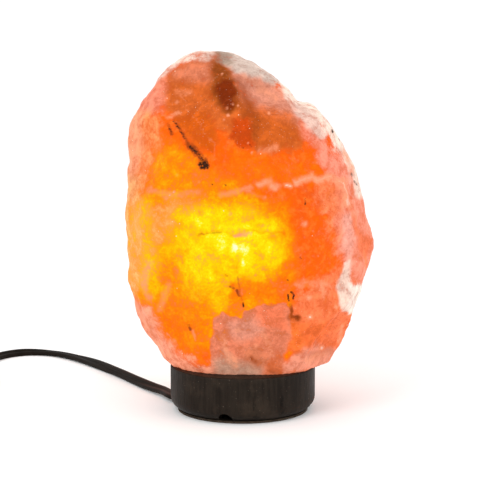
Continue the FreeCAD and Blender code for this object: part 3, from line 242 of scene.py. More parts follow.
# %% Numbers on the points of a piece
def paint(piece, name, values):
    """Stores one colour or one number at each point of a piece, for its shader to read."""
    colour = values.ndim == 2
    kind = "FLOAT_COLOR" if colour else "FLOAT"
    layer = piece.data.attributes.new(name, kind, "POINT")
    if colour:
        values = np.concatenate([values, np.ones((len(values), 1))], 1)
    layer.data.foreach_set("color" if colour else "value", values.ravel().astype(np.float32))


def read(piece, what):
    """Each vertex's place ("co") or direction ("normal"), as an array of three columns."""
    flat = np.empty(len(piece.data.vertices) * 3, np.float32)
    piece.data.vertices.foreach_get(what, flat)
    return flat.reshape(-1, 3).astype(float)


# %% [markdown]
# ## The flex
# The flex is flat twin cable: two round cores side by side in black plastic, 7.2 mm wide and
# 3.6 mm thick. It is stiff enough to lie in long loose curves, and it twists as it lies, so the
# photograph shows it flat here and on its edge there. A bevelled curve can't twist a figure of
# eight where it should, so the line is read from a NURBS spline and the section is carried
# along it, turned by a twist that depends on the distance from the base.

# %% The line that a flex follows
FLEX_WIDE = 7.2 * MM
FLEX_THICK = 3.6 * MM
WEB_SHARE = 0.5  # of a core's thickness
SECTION_POINTS = 28


def spline_line(route, step):
    """Points of the quadratic NURBS spline that a route's points pull on, evenly apart.

    Returned with each point's distance along the line.
    """
    curve = bpy.data.curves.new("route", "CURVE")
    curve.dimensions = "3D"
    spline = curve.splines.new("NURBS")
    spline.points.add(len(route) - 1)
    spline.points.foreach_set("co", np.c_[route, np.ones(len(route))].ravel())
    spline.order_u = 3
    spline.use_endpoint_u = True
    spline.resolution_u = 16
    holder = bpy.data.objects.new("route", curve)
    mesh = bpy.data.meshes.new_from_object(holder)
    flat = np.empty(len(mesh.vertices) * 3)
    mesh.vertices.foreach_get("co", flat)
    line = flat.reshape(-1, 3)
    bpy.data.objects.remove(holder)
    bpy.data.curves.remove(curve)
    bpy.data.meshes.remove(mesh)
    run = np.concatenate([[0], np.cumsum(np.linalg.norm(np.diff(line, axis=0), axis=1))])
    at = np.linspace(0, run[-1], int(round(run[-1] / step)) + 1)
    return np.stack([np.interp(at, run, line[:, k]) for k in range(3)], -1), at


def unit(vectors):
    """Vectors cut or stretched to a length of one."""
    return vectors / np.linalg.norm(vectors, axis=-1, keepdims=True)


def twin_section():
    """Outline of two touching cores: half the thickness is a circle's height over each core,
    and never less than the web between them."""
    angle = np.arange(SECTION_POINTS) * 2 * np.pi / SECTION_POINTS
    x = np.cos(angle) * FLEX_WIDE / 2
    core = FLEX_THICK / 2
    height = np.sqrt(np.clip(core ** 2 - (np.abs(x) - core) ** 2, 0, None))
    web = WEB_SHARE * core
    y = np.sign(np.sin(angle)) * np.where(np.abs(x) < core, np.maximum(height, web), height)
    return x, y


def carry_section(name, line, wide, thin):
    """A ring of the twin section round each point of a line: x along wide and y along thin."""
    x, y = twin_section()
    grid = line[:, None] + wide[:, None] * x[None, :, None] + thin[:, None] * y[None, :, None]
    return surface_piece(name, grid[:, ::-1])


def flex_piece(name, route, twist, step=1.6 * MM):
    """The twin section carried along the route's spline and turned about it by the twist.

    twist is a list of (distance from the start in mm, angle in degrees): 0 lies flat and 90
    stands on edge.
    """
    line, at = spline_line(route, step)
    ahead = unit(np.gradient(line, axis=0))
    side = unit(np.cross(ahead, [0, 0, 1.0]))
    up = np.cross(side, ahead)
    knots, angles = np.array(twist, float).T
    turn = np.radians(np.interp(at / MM, knots, angles))[:, None]
    wide = side * np.cos(turn) + up * np.sin(turn)
    thin = up * np.cos(turn) - side * np.sin(turn)
    piece = carry_section(name, line, wide, thin)
    print(name, "length", round(at[-1] / MM, 1), "mm, rings", len(line))
    return piece, line, at[-1]


# %% [markdown]
# ### From the base to the dimmer
# The route's points are the ones that the construction uses. The flex comes out of a groove at
# the back left, stands on its edge behind the lamp, lies flat further out, and leaves the
# picture at the left just before the dimmer.

# %% Flex from the base to the dimmer
DIMMER_HEADING = np.radians(264)
ONWARD = np.array([np.cos(DIMMER_HEADING), np.sin(DIMMER_HEADING), 0])
EXIT_HEADING = np.radians(166)
OUTWARD = np.array([np.cos(EXIT_HEADING), np.sin(EXIT_HEADING), 0])
DIMMER_INLET = np.array([-206, 103, 8.5])
DIMMER_LENGTH = 106

run_route = np.array([
    34 * OUTWARD + (0, 0, 3.4), 50.5 * OUTWARD + (0, 0, 4.8), (-56, 31.5, 4.6),
    (-64, 43.5, 3.9), (-76, 62.5, 3.7), (-97, 99.5, 3.9), (-126, 146, 3.0), (-152, 175, 2.2),
    (-178, 179, 2.6), (-197, 163, 2.7), (-202.5, 138, 2.7), DIMMER_INLET - 15 * ONWARD,
    DIMMER_INLET]) * MM
RUN_TWIST = [(0, 0), (8, 6), (20, 18), (40, 28), (58, 46), (80, 80), (118, 90), (150, 45),
             (180, 4), (212, 0), (235, 28), (255, 26), (278, 4), (292, 0), (320, 0)]
flex_run, run_line, run_length = flex_piece("flex_to_dimmer", run_route, RUN_TWIST)
print("lowest point of the flex, mm:", round(float(read(flex_run, "co")[:, 2].min()) / MM, 2))

# %% [markdown]
# ### From the dimmer to the plug
# The length that the photograph doesn't show is wound into a flat coil just outside the picture:
# five and a half turns in two layers, on edge, so that the turns lie beside each other. The
# spline cuts inside its points, so the circle of points is made larger by one over the cosine of
# half a step.

# %% Flex from the dimmer through the coil to the plug
COIL_CENTRE = np.array([-260.6, -42])
COIL_RADIUS = 42
COIL_PITCH = 4.4
COIL_TURNS = 5.5
COIL_LOW = 4.4
COIL_HIGH = 12.2
CLIMB_FROM = 2.5
CLIMB_TO = 3.0
STEPS_A_TURN = 24
PLUG_HEADING = np.radians(86)
INTO_PLUG = np.array([np.cos(PLUG_HEADING), np.sin(PLUG_HEADING), 0])
PLUG_AT = np.array([-299, 36, 6.5])


def coil_points():
    """Points of the coil: the radius shrinks to the middle turn and grows again, and the height
    rises by one layer, slowly at both ends, over the half turn where the spiral turns back."""
    turn = np.arange(1, COIL_TURNS * STEPS_A_TURN) / STEPS_A_TURN
    middle = COIL_TURNS / 2
    radius = COIL_RADIUS - COIL_PITCH * (middle - np.abs(turn - middle))
    radius = radius / np.cos(np.pi / STEPS_A_TURN)
    angle = -2 * np.pi * turn
    climb = np.clip((turn - CLIMB_FROM) / (CLIMB_TO - CLIMB_FROM), 0, 1)
    height = COIL_LOW + (COIL_HIGH - COIL_LOW) * climb * climb * (3 - 2 * climb)
    return np.stack([COIL_CENTRE[0] + radius * np.cos(angle),
                     COIL_CENTRE[1] + radius * np.sin(angle), height], -1)


outlet = DIMMER_INLET + DIMMER_LENGTH * ONWARD
coil_start = (COIL_CENTRE[0] + COIL_RADIUS, COIL_CENTRE[1], COIL_LOW)
coil_end = (COIL_CENTRE[0] - COIL_RADIUS, COIL_CENTRE[1], COIL_HIGH)
tail_route = np.concatenate([
    [outlet, outlet + 10 * ONWARD, (-218.6, -28, COIL_LOW), coil_start],
    coil_points(),
    [coil_end, np.add(coil_end, (0, 16, 0)), (-304, -4, 3.9), PLUG_AT - 16 * INTO_PLUG,
     PLUG_AT]]) * MM
TAIL_TWIST = [(0, 0), (8, 10), (28, 90), (1290, 90), (1330, 84), (1400, 84)]
flex_tail, tail_line, tail_length = flex_piece("flex_coil_and_tail", tail_route, TAIL_TWIST,
                                               step=2 * MM)

# %% [markdown]
# ### Inside the base
# The last bit of flex goes up into the bulb holder. It bends in the groove, out beside
# the bulb, so that the drawn-out bulb hangs next to the flex and not in it.

# %% Flex inside the base
inner_route = np.array([
    (0, 0, 48), (0, 0, 34), (0, 0, 20), 5 * OUTWARD + (0, 0, 7), 18 * OUTWARD + (0, 0, 3.4),
    34 * OUTWARD + (0, 0, 3.4)]) * MM


def inner_flex():
    """The twin section along a route that starts upright, so its frame comes from the exit's
    sideways direction and not from the vertical."""
    line, _ = spline_line(inner_route, 1.2 * MM)
    ahead = unit(np.gradient(line, axis=0))
    side = np.broadcast_to(np.cross([0, 0, 1.0], OUTWARD), ahead.shape)
    print("flex inside the base, rings:", len(line))
    return carry_section("flex_inside_base", line, side, np.cross(side, ahead))


flex_inner = inner_flex()

# %% [markdown]
# ### The lump's light on the flex
# Close to the lump its light falls on the black plastic and makes the near side look brown. The
# light that the lump sends out in the scene hardly shows on black, so the flex's points store how
# much they would get: more where they face the lump, less with the distance.

# %% The warm side of the flex near the lump
LUMP_CENTRE = np.array([0, 0, 90]) * MM
WARM_REACH = 110 * MM

flex_points = read(flex_run, "co")
to_lump = unit(LUMP_CENTRE - flex_points)
meets_lump = np.clip((read(flex_run, "normal") * to_lump).sum(1), 0, 1)
nearness = np.clip(1.6 - np.hypot(flex_points[:, 0], flex_points[:, 1]) / WARM_REACH, 0, 1)
paint(flex_run, "warm", meets_lump * nearness)
print("warmest point of the flex:", round(float((meets_lump * nearness).max()), 2))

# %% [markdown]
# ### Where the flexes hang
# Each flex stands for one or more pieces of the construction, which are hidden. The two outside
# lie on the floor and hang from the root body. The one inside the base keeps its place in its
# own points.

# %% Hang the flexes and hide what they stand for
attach(flex_run, "root")
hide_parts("flex_run")
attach(flex_tail, "root")
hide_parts("flex_link", "flex_coil", "flex_tail")
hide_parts("flex_in_base")
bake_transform(flex_inner)

# %% [markdown]
# ## The lump of salt
# Rock salt splits and is hewn into rough flats with rounded edges. The construction holds the
# main flats, and so the lump starts from them: along each direction from the middle, the
# nearest flat gives the distance. Taking a soft minimum in place of the nearest one rounds the
# edges. Shallow scoops, like those a chisel leaves, and fine noise come on top.

# %% Read the flats of the lump
SALT_MIDDLE = np.array([0, 0, 114]) * MM
SALT_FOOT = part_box("salt_crystal")[0][2]
CAVITY_RADIUS = 25 * MM
CAVITY_STRAIGHT = 84 * MM
NEAREST_FLAT = 55 * MM  # from the middle: the cavity's faces are nearer
SMALLEST_FLAT = 30 * MM * MM


def flats_of(node):
    """Direction and distance from the middle of each flat outer face of a node, once each.

    Triangles that lie in one plane are one flat. The scoops' curved faces give triangles that
    have a plane each to themselves, so a small total area tells them from the flats. The foot,
    which faces straight down, is left out. Planes are the same if direction and distance agree to
    three places, with the distance in hundredths of a metre.
    """
    mesh = node.data
    count = len(mesh.polygons)
    facing = np.empty(count * 3)
    centre = np.empty(count * 3)
    area = np.empty(count)
    mesh.polygons.foreach_get("normal", facing)
    mesh.polygons.foreach_get("center", centre)
    mesh.polygons.foreach_get("area", area)
    facing = facing.reshape(-1, 3)
    away = ((centre.reshape(-1, 3) - SALT_MIDDLE) * facing).sum(1)
    outer = (away > NEAREST_FLAT) & (facing[:, 2] > -0.99)
    found = np.round(np.c_[facing[outer], away[outer] * 100], 3)
    found, group = np.unique(found, axis=0, return_inverse=True)
    found = found[np.bincount(group.ravel(), area[outer]) > SMALLEST_FLAT]
    return unit(found[:, :3]), found[:, 3] / 100


flat_facing, flat_away = flats_of(nodes["salt_crystal"])
print("flats of the lump:", len(flat_away))

# %% [markdown]
# ### Noise and small scoops
# Noise is a sum of plane waves: each has its own direction, length and phase, and their sum is
# smooth and never repeats. It works on all points at once, and a seed makes it the same each run.

# %% Noise and small scoops
def waves(points, size, seed, count=40):
    """Smooth noise, mostly between -1 and 1, with bumps about size metres across."""
    random = np.random.default_rng(seed)
    direction = unit(random.normal(size=(count, 3)))
    pace = 2 * np.pi / (2 * size) * random.uniform(0.6, 1.5, count)[:, None]
    phase = random.uniform(0, 2 * np.pi, count)
    total = np.zeros(len(points))
    for k in range(count):
        total += np.cos(points @ (direction[k] * pace[k]) + phase[k])
    return total / np.sqrt(2 * count) * 1.1


def scoops(points, count, reach, depth, seed):
    """Depth of shallow round scoops, the deepest of those that reach a point."""
    random = np.random.default_rng(seed)
    middle = unit(random.normal(size=(count, 3)))
    wide = random.uniform(0.5, 1.0, count) * reach
    deep = random.uniform(0.3, 1.0, count) * depth
    towards = unit(points - SALT_MIDDLE)
    total = np.zeros(len(points))
    for k in range(count):
        off = np.linalg.norm(towards - middle[k], axis=1) / wide[k]
        total = np.maximum(total, deep[k] * np.clip(1 - off ** 2, 0, None))
    return total


# %% [markdown]
# ### The scoops of the chisel
# The construction takes 25 large shallow scoops off the flats, each by a ball that dips into the
# surface. The balls are laid out here as they are there, and each line from the middle ends where
# it first meets a flat or a ball. Near a ball's rim the two distances are blended, which rounds
# the rim a little.

# %% The scoops of the chisel
HEWN_MIDDLE = np.array([5, 5, 138.75]) * MM
SCOOP_ROUNDING = 0.7 * MM
FAR = 1.0  # metres: farther than any surface of the lamp
CHISEL_SCOOPS = np.array([  # azimuth and tilt in degrees, width and depth in mm
    (0, -43, 22, 3.5), (12, 8, 40, 2.4), (5, 40, 34, 2.2), (2, 69, 22, 3.2), (38, -22, 44, 2.6),
    (45, 30, 46, 2.8), (80, -5, 50, 3.0), (84, 40, 40, 2.4), (112, 14, 42, 2.6),
    (120, -35, 44, 2.6), (150, 30, 42, 2.6), (160, -2, 40, 2.2), (182, 48, 30, 2.0),
    (196, -30, 40, 2.4), (214, 18, 44, 2.4), (232, -12, 38, 2.2), (238, 46, 44, 2.6),
    (262, 20, 48, 2.4), (266, -34, 42, 2.2), (276, -8, 40, 1.8), (290, 58, 38, 2.4),
    (300, 26, 42, 2.6), (318, -18, 40, 2.6), (336, 10, 34, 2.4), (330, -44, 36, 2.4)])


def hewn_away(towards, reach):
    """Shortens the reach of each line from the middle to where it enters a scoop's ball.

    A ball of radius r leaves a scoop w wide and d deep where r is (w * w / 4 + d * d) / 2d.
    """
    azimuth, tilt = np.radians(CHISEL_SCOOPS[:, :2]).T
    wide, deep = CHISEL_SCOOPS[:, 2:].T * MM
    facing = np.stack([np.cos(tilt) * np.cos(azimuth), np.cos(tilt) * np.sin(azimuth),
                       np.sin(tilt)], -1)
    meets = facing @ flat_facing.T
    flat_from_hewn = flat_away - flat_facing @ (HEWN_MIDDLE - SALT_MIDDLE)
    surface = np.where(meets > 0.1, flat_from_hewn / np.maximum(meets, 0.1), FAR).min(1)
    radius = (wide ** 2 / 4 + deep ** 2) / (2 * deep)
    ball = HEWN_MIDDLE + facing * (surface + radius - deep)[:, None]
    for middle, size in zip(ball - SALT_MIDDLE, radius):
        nearest = towards @ middle
        inside = nearest ** 2 - middle @ middle + size ** 2
        hits = (inside > 0) & (nearest > 0)
        enters = np.where(hits, nearest - np.sqrt(np.maximum(inside, 0)), FAR)
        gap = np.clip((enters - reach) / SCOOP_ROUNDING, -30, 30)
        reach = reach - SCOOP_ROUNDING * np.log1p(np.exp(-gap))
    return reach


# %% [markdown]
# ### The lump's surface
# The sheet of points is a globe of lines from the middle, each as long as the flats, scoops and
# roughness let it be. At the foot it turns inwards and runs up the cavity's wall, so that outside
# and inside are one closed piece. A few swellings and dents bring its outline to the
# photograph's.

# %% The lump's surface
OUTLINE_BUMPS = np.array([  # x and z in mm, width, height
    (70, 56, 24, 4.6), (37, 212, 7, -4.6), (-70, 64, 15, 2.4), (-52, 36, 8, 2.4),
    (-77, 198, 8, 2.2), (-80, 177, 10, -1.8), (-56, 228, 6, 2.6), (-34, 246, 12, 1.7),
    (-8, 246, 12, -0.8), (6, 239, 9, -1.0)]) * MM

SALT_COLUMNS = 360
OUTER_ROWS = 244
WALL_ROWS = 10
END_ROWS = 9
FRONT_CROWDING = 0.42
TOP_HOLE = 0.004  # radians from the very top to the first row
EDGE_ROUNDING = 1.6 * MM
ROUGHNESS = [(1.1, 30, 1), (0.7, 12, 2), (0.34, 5, 3), (0.18, 2.6, 4)]  # height, size in mm, seed
SMALL_SCOOPS = [(60, 0.34, 1.8, 5), (160, 0.14, 0.9, 6)]  # count, reach, depth in mm, seed
SCOOPED_OFF = 0.9 * MM  # given back for what the small scoops take


def flat_reach(towards):
    """How far each line from the middle goes before it leaves the body between the flats.

    A line meets a flat at the flat's distance over the cosine between them. The soft minimum of
    these is the least one, less a logarithm that counts the flats nearly as close.
    """
    meets = towards @ flat_facing.T
    reach = np.where(meets > 0.05, flat_away / np.maximum(meets, 0.05), FAR)
    nearest = reach.min(1)
    return nearest - EDGE_ROUNDING * np.log(np.exp(-(reach - nearest[:, None])
                                                   / EDGE_ROUNDING).sum(1))


def roughness_of(points):
    """Height of the fine relief: noise of four sizes, less small scoops, and the bumps."""
    rough = sum(high * MM * waves(points, size * MM, seed) for high, size, seed in ROUGHNESS)
    rough -= sum(scoops(points, count, reach, depth * MM, seed)
                 for count, reach, depth, seed in SMALL_SCOOPS)
    for x, z, wide, high in OUTLINE_BUMPS:
        rough += high * np.exp(-((points[:, 0] - x) ** 2 + (points[:, 2] - z) ** 2) / wide ** 2)
    return rough


def lump_grid():
    """The outside from the top to the cavity's mouth, then the cavity's wall and round end.

    Columns stand closer together at the front, which the photograph shows.
    """
    even = np.arange(SALT_COLUMNS) * 2 * np.pi / SALT_COLUMNS
    round_it = even - FRONT_CROWDING * np.cos(even)
    ring = np.stack([np.cos(round_it), np.sin(round_it), 0 * round_it], -1)
    mouth = np.pi - np.arctan2(CAVITY_RADIUS, SALT_MIDDLE[2] - SALT_FOOT)
    fall = np.linspace(TOP_HOLE, mouth, OUTER_ROWS)[:, None, None]
    towards = unit((np.sin(fall) * ring + np.cos(fall) * (0, 0, 1)).reshape(-1, 3))
    soft = hewn_away(towards, flat_reach(towards))
    reach = soft + roughness_of(SALT_MIDDLE + towards * soft[:, None]) + SCOOPED_OFF
    to_foot = (SALT_FOOT - SALT_MIDDLE[2]) / np.minimum(towards[:, 2], -1e-6)
    reach = np.where(towards[:, 2] < 0, np.minimum(reach, to_foot), reach)
    outside = (SALT_MIDDLE + towards * reach[:, None]).reshape(OUTER_ROWS, SALT_COLUMNS, 3)
    wall = [CAVITY_RADIUS * ring + (0, 0, SALT_FOOT + CAVITY_STRAIGHT * share)
            for share in np.linspace(0, 1, WALL_ROWS + 1)[1:]]
    end = [CAVITY_RADIUS * np.cos(tilt) * ring
           + (0, 0, SALT_FOOT + CAVITY_STRAIGHT + CAVITY_RADIUS * np.sin(tilt))
           for tilt in np.linspace(0, np.pi / 2, END_ROWS + 2)[1:-1]]
    return np.concatenate([outside, np.array(wall), np.array(end)])


salt = surface_piece("salt_lump", lump_grid()[:, ::-1])
print("salt lump:", len(salt.data.polygons), "faces")

# %% [markdown]
# ### How the light comes through
# Salt is full of small flaws that scatter light. Near the bulb little is lost and the salt looks
# yellow, and through more salt it turns orange, then red, because the blue and the green go
# first. A true simulation of this needs far more render time than a lamp is worth, so each point
# stores the millimetres of salt between it and the bulb, and the shader turns them into a colour.
# Cloudier salt counts as more of it. Where the photograph shows a cloudier or a clearer part, an
# outline measured on it, in pixels, adds to or takes from the millimetres.
#
# First comes each point's pixel, and whether it faces the camera at all. The outlines wander a
# little, because the pixels that they are tried against are shaken by noise.

# %% Where each point of the lump is in the photograph
salt_points = read(salt, "co")
column, row = in_photo(salt_points)
to_camera = unit(CAMERA_AT - salt_points)
front = np.clip((read(salt, "normal") * to_camera).sum(1) * 4 + 0.6, 0, 1)
in_cavity = np.hypot(salt_points[:, 0], salt_points[:, 1]) < CAVITY_RADIUS * 1.01


def wander(coarse, fine, fine_size, seed):
    """Noise of two sizes, coarse and fine pixels high."""
    return (coarse * waves(salt_points, 6 * MM, seed)
            + fine * waves(salt_points, fine_size, seed + 1))


across = column + wander(1.7, 0.9, 2.4 * MM, 11)
down = row + wander(1.7, 0.9, 2.4 * MM, 13)
shake = wander(1.3, 0.8, 2.2 * MM, 15)
print("points that face the camera:", int((front > 0.5).sum()), "of", len(front))

# %% [markdown]
# What lies in the photograph is given in three ways: an outline round a patch, a line along a
# vein or a crack, and a round spot. Each gives every point a number from 0 to 1.

# %% Outlines, lines and spots
def ease(part):
    """Clamps to 0..1 and rounds off both ends."""
    part = np.clip(part, 0, 1)
    return part * part * (3 - 2 * part)


def nearest_line(corners, x, y):
    """Distance in pixels from each point to a line drawn through corners."""
    near = np.full(len(x), 1e9)
    for (x0, y0), (x1, y1) in zip(corners, corners[1:]):
        dx, dy = x1 - x0, y1 - y0
        along = np.clip(((x - x0) * dx + (y - y0) * dy) / (dx * dx + dy * dy), 0, 1)
        near = np.minimum(near, np.hypot(x - x0 - along * dx, y - y0 - along * dy))
    return near


def region(corners, soft):
    """1 inside a closed outline in the photograph, 0 outside, with a rim soft pixels wide.

    A point is inside if a level line from it crosses the outline an odd number of times.
    """
    inside = np.zeros(len(across), bool)
    for (x0, y0), (x1, y1) in zip(corners, corners[1:] + corners[:1]):
        passes = (y0 > down) != (y1 > down)
        inside ^= passes & (across < x0 + (down - y0) * (x1 - x0) / ((y1 - y0) or 1e-9))
    signed = nearest_line(corners + corners[:1], across, down) * np.where(inside, 1, -1)
    return ease(0.5 + signed / (2 * soft)) * front


def streak(corners, width, off=1.0):
    """A soft line through corners in the photograph, which the noise bends off it."""
    near = nearest_line(corners, column + off * shake, row - off * shake)
    return np.exp(-(near / width) ** 2) * front


def spot(x, y, wide, tall):
    """A soft round spot in the photograph."""
    return np.exp(-((column - x) / wide) ** 2 - ((row - y) / tall) ** 2) * front


# %% Salt between the bulb and each point
GLOW_MIDDLE = np.array([-1, 0, 118]) * MM
CLOUDIER = [  # more millimetres, softness, outline
    (34, 10, [(292, 204), (304, 188), (330, 186), (350, 200), (352, 262), (345, 340), (300, 356),
              (294, 330), (296, 290), (298, 250)]),
    (20, 9, [(168, 128), (190, 108), (232, 98), (300, 108), (352, 160), (345, 205), (300, 198),
             (262, 196), (236, 184), (210, 168), (188, 150)]),
    (10, 3, [(231, 281), (244, 275), (262, 283), (286, 276), (289, 308), (250, 309), (238, 315),
               (222, 317), (232, 300)]),
    (5, 9, [(152, 272), (176, 268), (198, 302), (211, 318), (212, 374), (184, 370), (166, 342),
            (156, 312)]),
    (5, 12, [(150, 184), (176, 204), (174, 272), (152, 286), (140, 250)]),
    (5, 8, [(180, 196), (230, 190), (262, 200), (240, 206), (216, 204), (196, 210), (180, 222)]),
    (-5, 7, [(181, 214), (195, 207), (215, 203), (262, 205), (280, 214), (284, 240), (278, 262),
             (262, 272), (238, 276), (230, 294), (220, 312), (204, 296), (190, 274), (180, 250)]),
    (-4, 4, [(226, 242), (250, 240), (254, 256), (246, 268), (232, 260)]),
    (7, 8, [(186, 168), (226, 176), (250, 190), (222, 196), (190, 196), (168, 188)]),
    (6, 5, [(256, 278), (290, 260), (292, 306), (252, 308)]),
    (13, 9, [(244, 190), (258, 203), (268, 212), (278, 226), (284, 246), (282, 262), (280, 300),
             (302, 300), (302, 186)]),
    (9, 10, [(172, 258), (190, 262), (202, 280), (226, 290), (250, 282), (250, 330), (160, 334),
             (160, 280)]),
    (5, 8, [(200, 232), (240, 262), (262, 232), (284, 232), (284, 300), (200, 300)]),
    (-12, 9, [(120, 190), (154, 196), (160, 282), (124, 296)]),
    (5, 8, [(150, 152), (200, 162), (262, 172), (262, 200), (150, 190)]),
]
CLOUDIER_SPOTS = [  # more millimetres, x, y, width, height
    (-7, 186, 235, 4, 5), (-6, 197, 222, 4, 6), (-5, 209, 214, 5, 4), (-6, 265, 226, 6, 6),
    (-6, 253, 212, 3, 2.5), (-6, 271, 250, 7, 9), (-5, 201, 254, 5, 6), (-6, 208, 279, 11, 6),
    (-7, 240, 248, 8, 6), (-11, 236, 248, 2.6, 5), (-11, 243, 250, 3, 3), (-13, 243, 262, 2, 5),
    (-6, 222, 250, 5, 6), (-5, 232, 228, 16, 3), (9, 200, 213, 3, 3), (8, 186, 251, 3, 4),
    (7, 216, 272, 3, 3), (10, 226, 275, 2, 2), (14, 232, 285, 2.5, 2), (12, 190, 311, 4, 3),
    (9, 272, 238, 5, 3), (8, 237, 268, 3, 6), (10, 243, 303, 2, 4), (8, 262, 293, 14, 7),
    (-9, 214, 302, 10, 9), (-6, 172, 160, 26, 14), (-7, 185, 182, 22, 9), (-6, 262, 168, 9, 8),
    (9, 310, 246, 12, 12), (8, 296, 222, 8, 10), (10, 222, 160, 12, 9), (8, 205, 356, 4, 8),
    (-9, 186, 212, 20, 10), (-6, 166, 224, 12, 18), (7, 256, 226, 9, 8), (9, 268, 212, 14, 12),
    (6, 184, 246, 8, 8), (-5, 208, 260, 12, 10), (7, 214, 302, 14, 10), (4, 244, 252, 16, 10)]
LONG_CRACK = [(199, 234), (218, 232), (232, 235), (252, 231), (285, 234)]

crossed = (np.linalg.norm(salt_points - GLOW_MIDDLE, axis=1) - CAVITY_RADIUS) / MM
crossed = crossed * (1 + 0.05 * waves(salt_points, 14 * MM, 21))
for more, soft, corners in CLOUDIER:
    crossed += more * region(corners, soft)
for more, x, y, wide, tall in CLOUDIER_SPOTS:
    crossed += more * spot(x, y, wide, tall)
crossed += 9 * streak(LONG_CRACK, 1.5)
print("salt crossed, mm:", crossed[~in_cavity].min().round(), "to", crossed.max().round())

# %% [markdown]
# ### Veils of other salt, and painted light at the rims
# Over the glow lie veils: pink and grey salt that scatters more, and brown clay. Along the rims
# lie veils of painted light: on the left a peach glow that scattering gives near an edge, and at
# the top and right a painted highlight of the room's light on the rough rim, over salt that is
# partly pale itself. Each is an outline with its own colour, and later ones lie over earlier ones.
# The shader tears their rims with fine noise, so they needn't be drawn finer than a few pixels.

# %% Lay the veils
# The first two colours are painted light at the rims: a pale highlight over partly pale salt, and a
# peach edge glow.
PALE_SALT_AND_SHEEN = (244, 212, 196)
PEACH_EDGE_GLOW = (254, 178, 104)
SALMON = (248, 138, 98)
PINK = (238, 150, 122)
GREY_PINK = (226, 132, 100)
CLAY = (158, 66, 18)

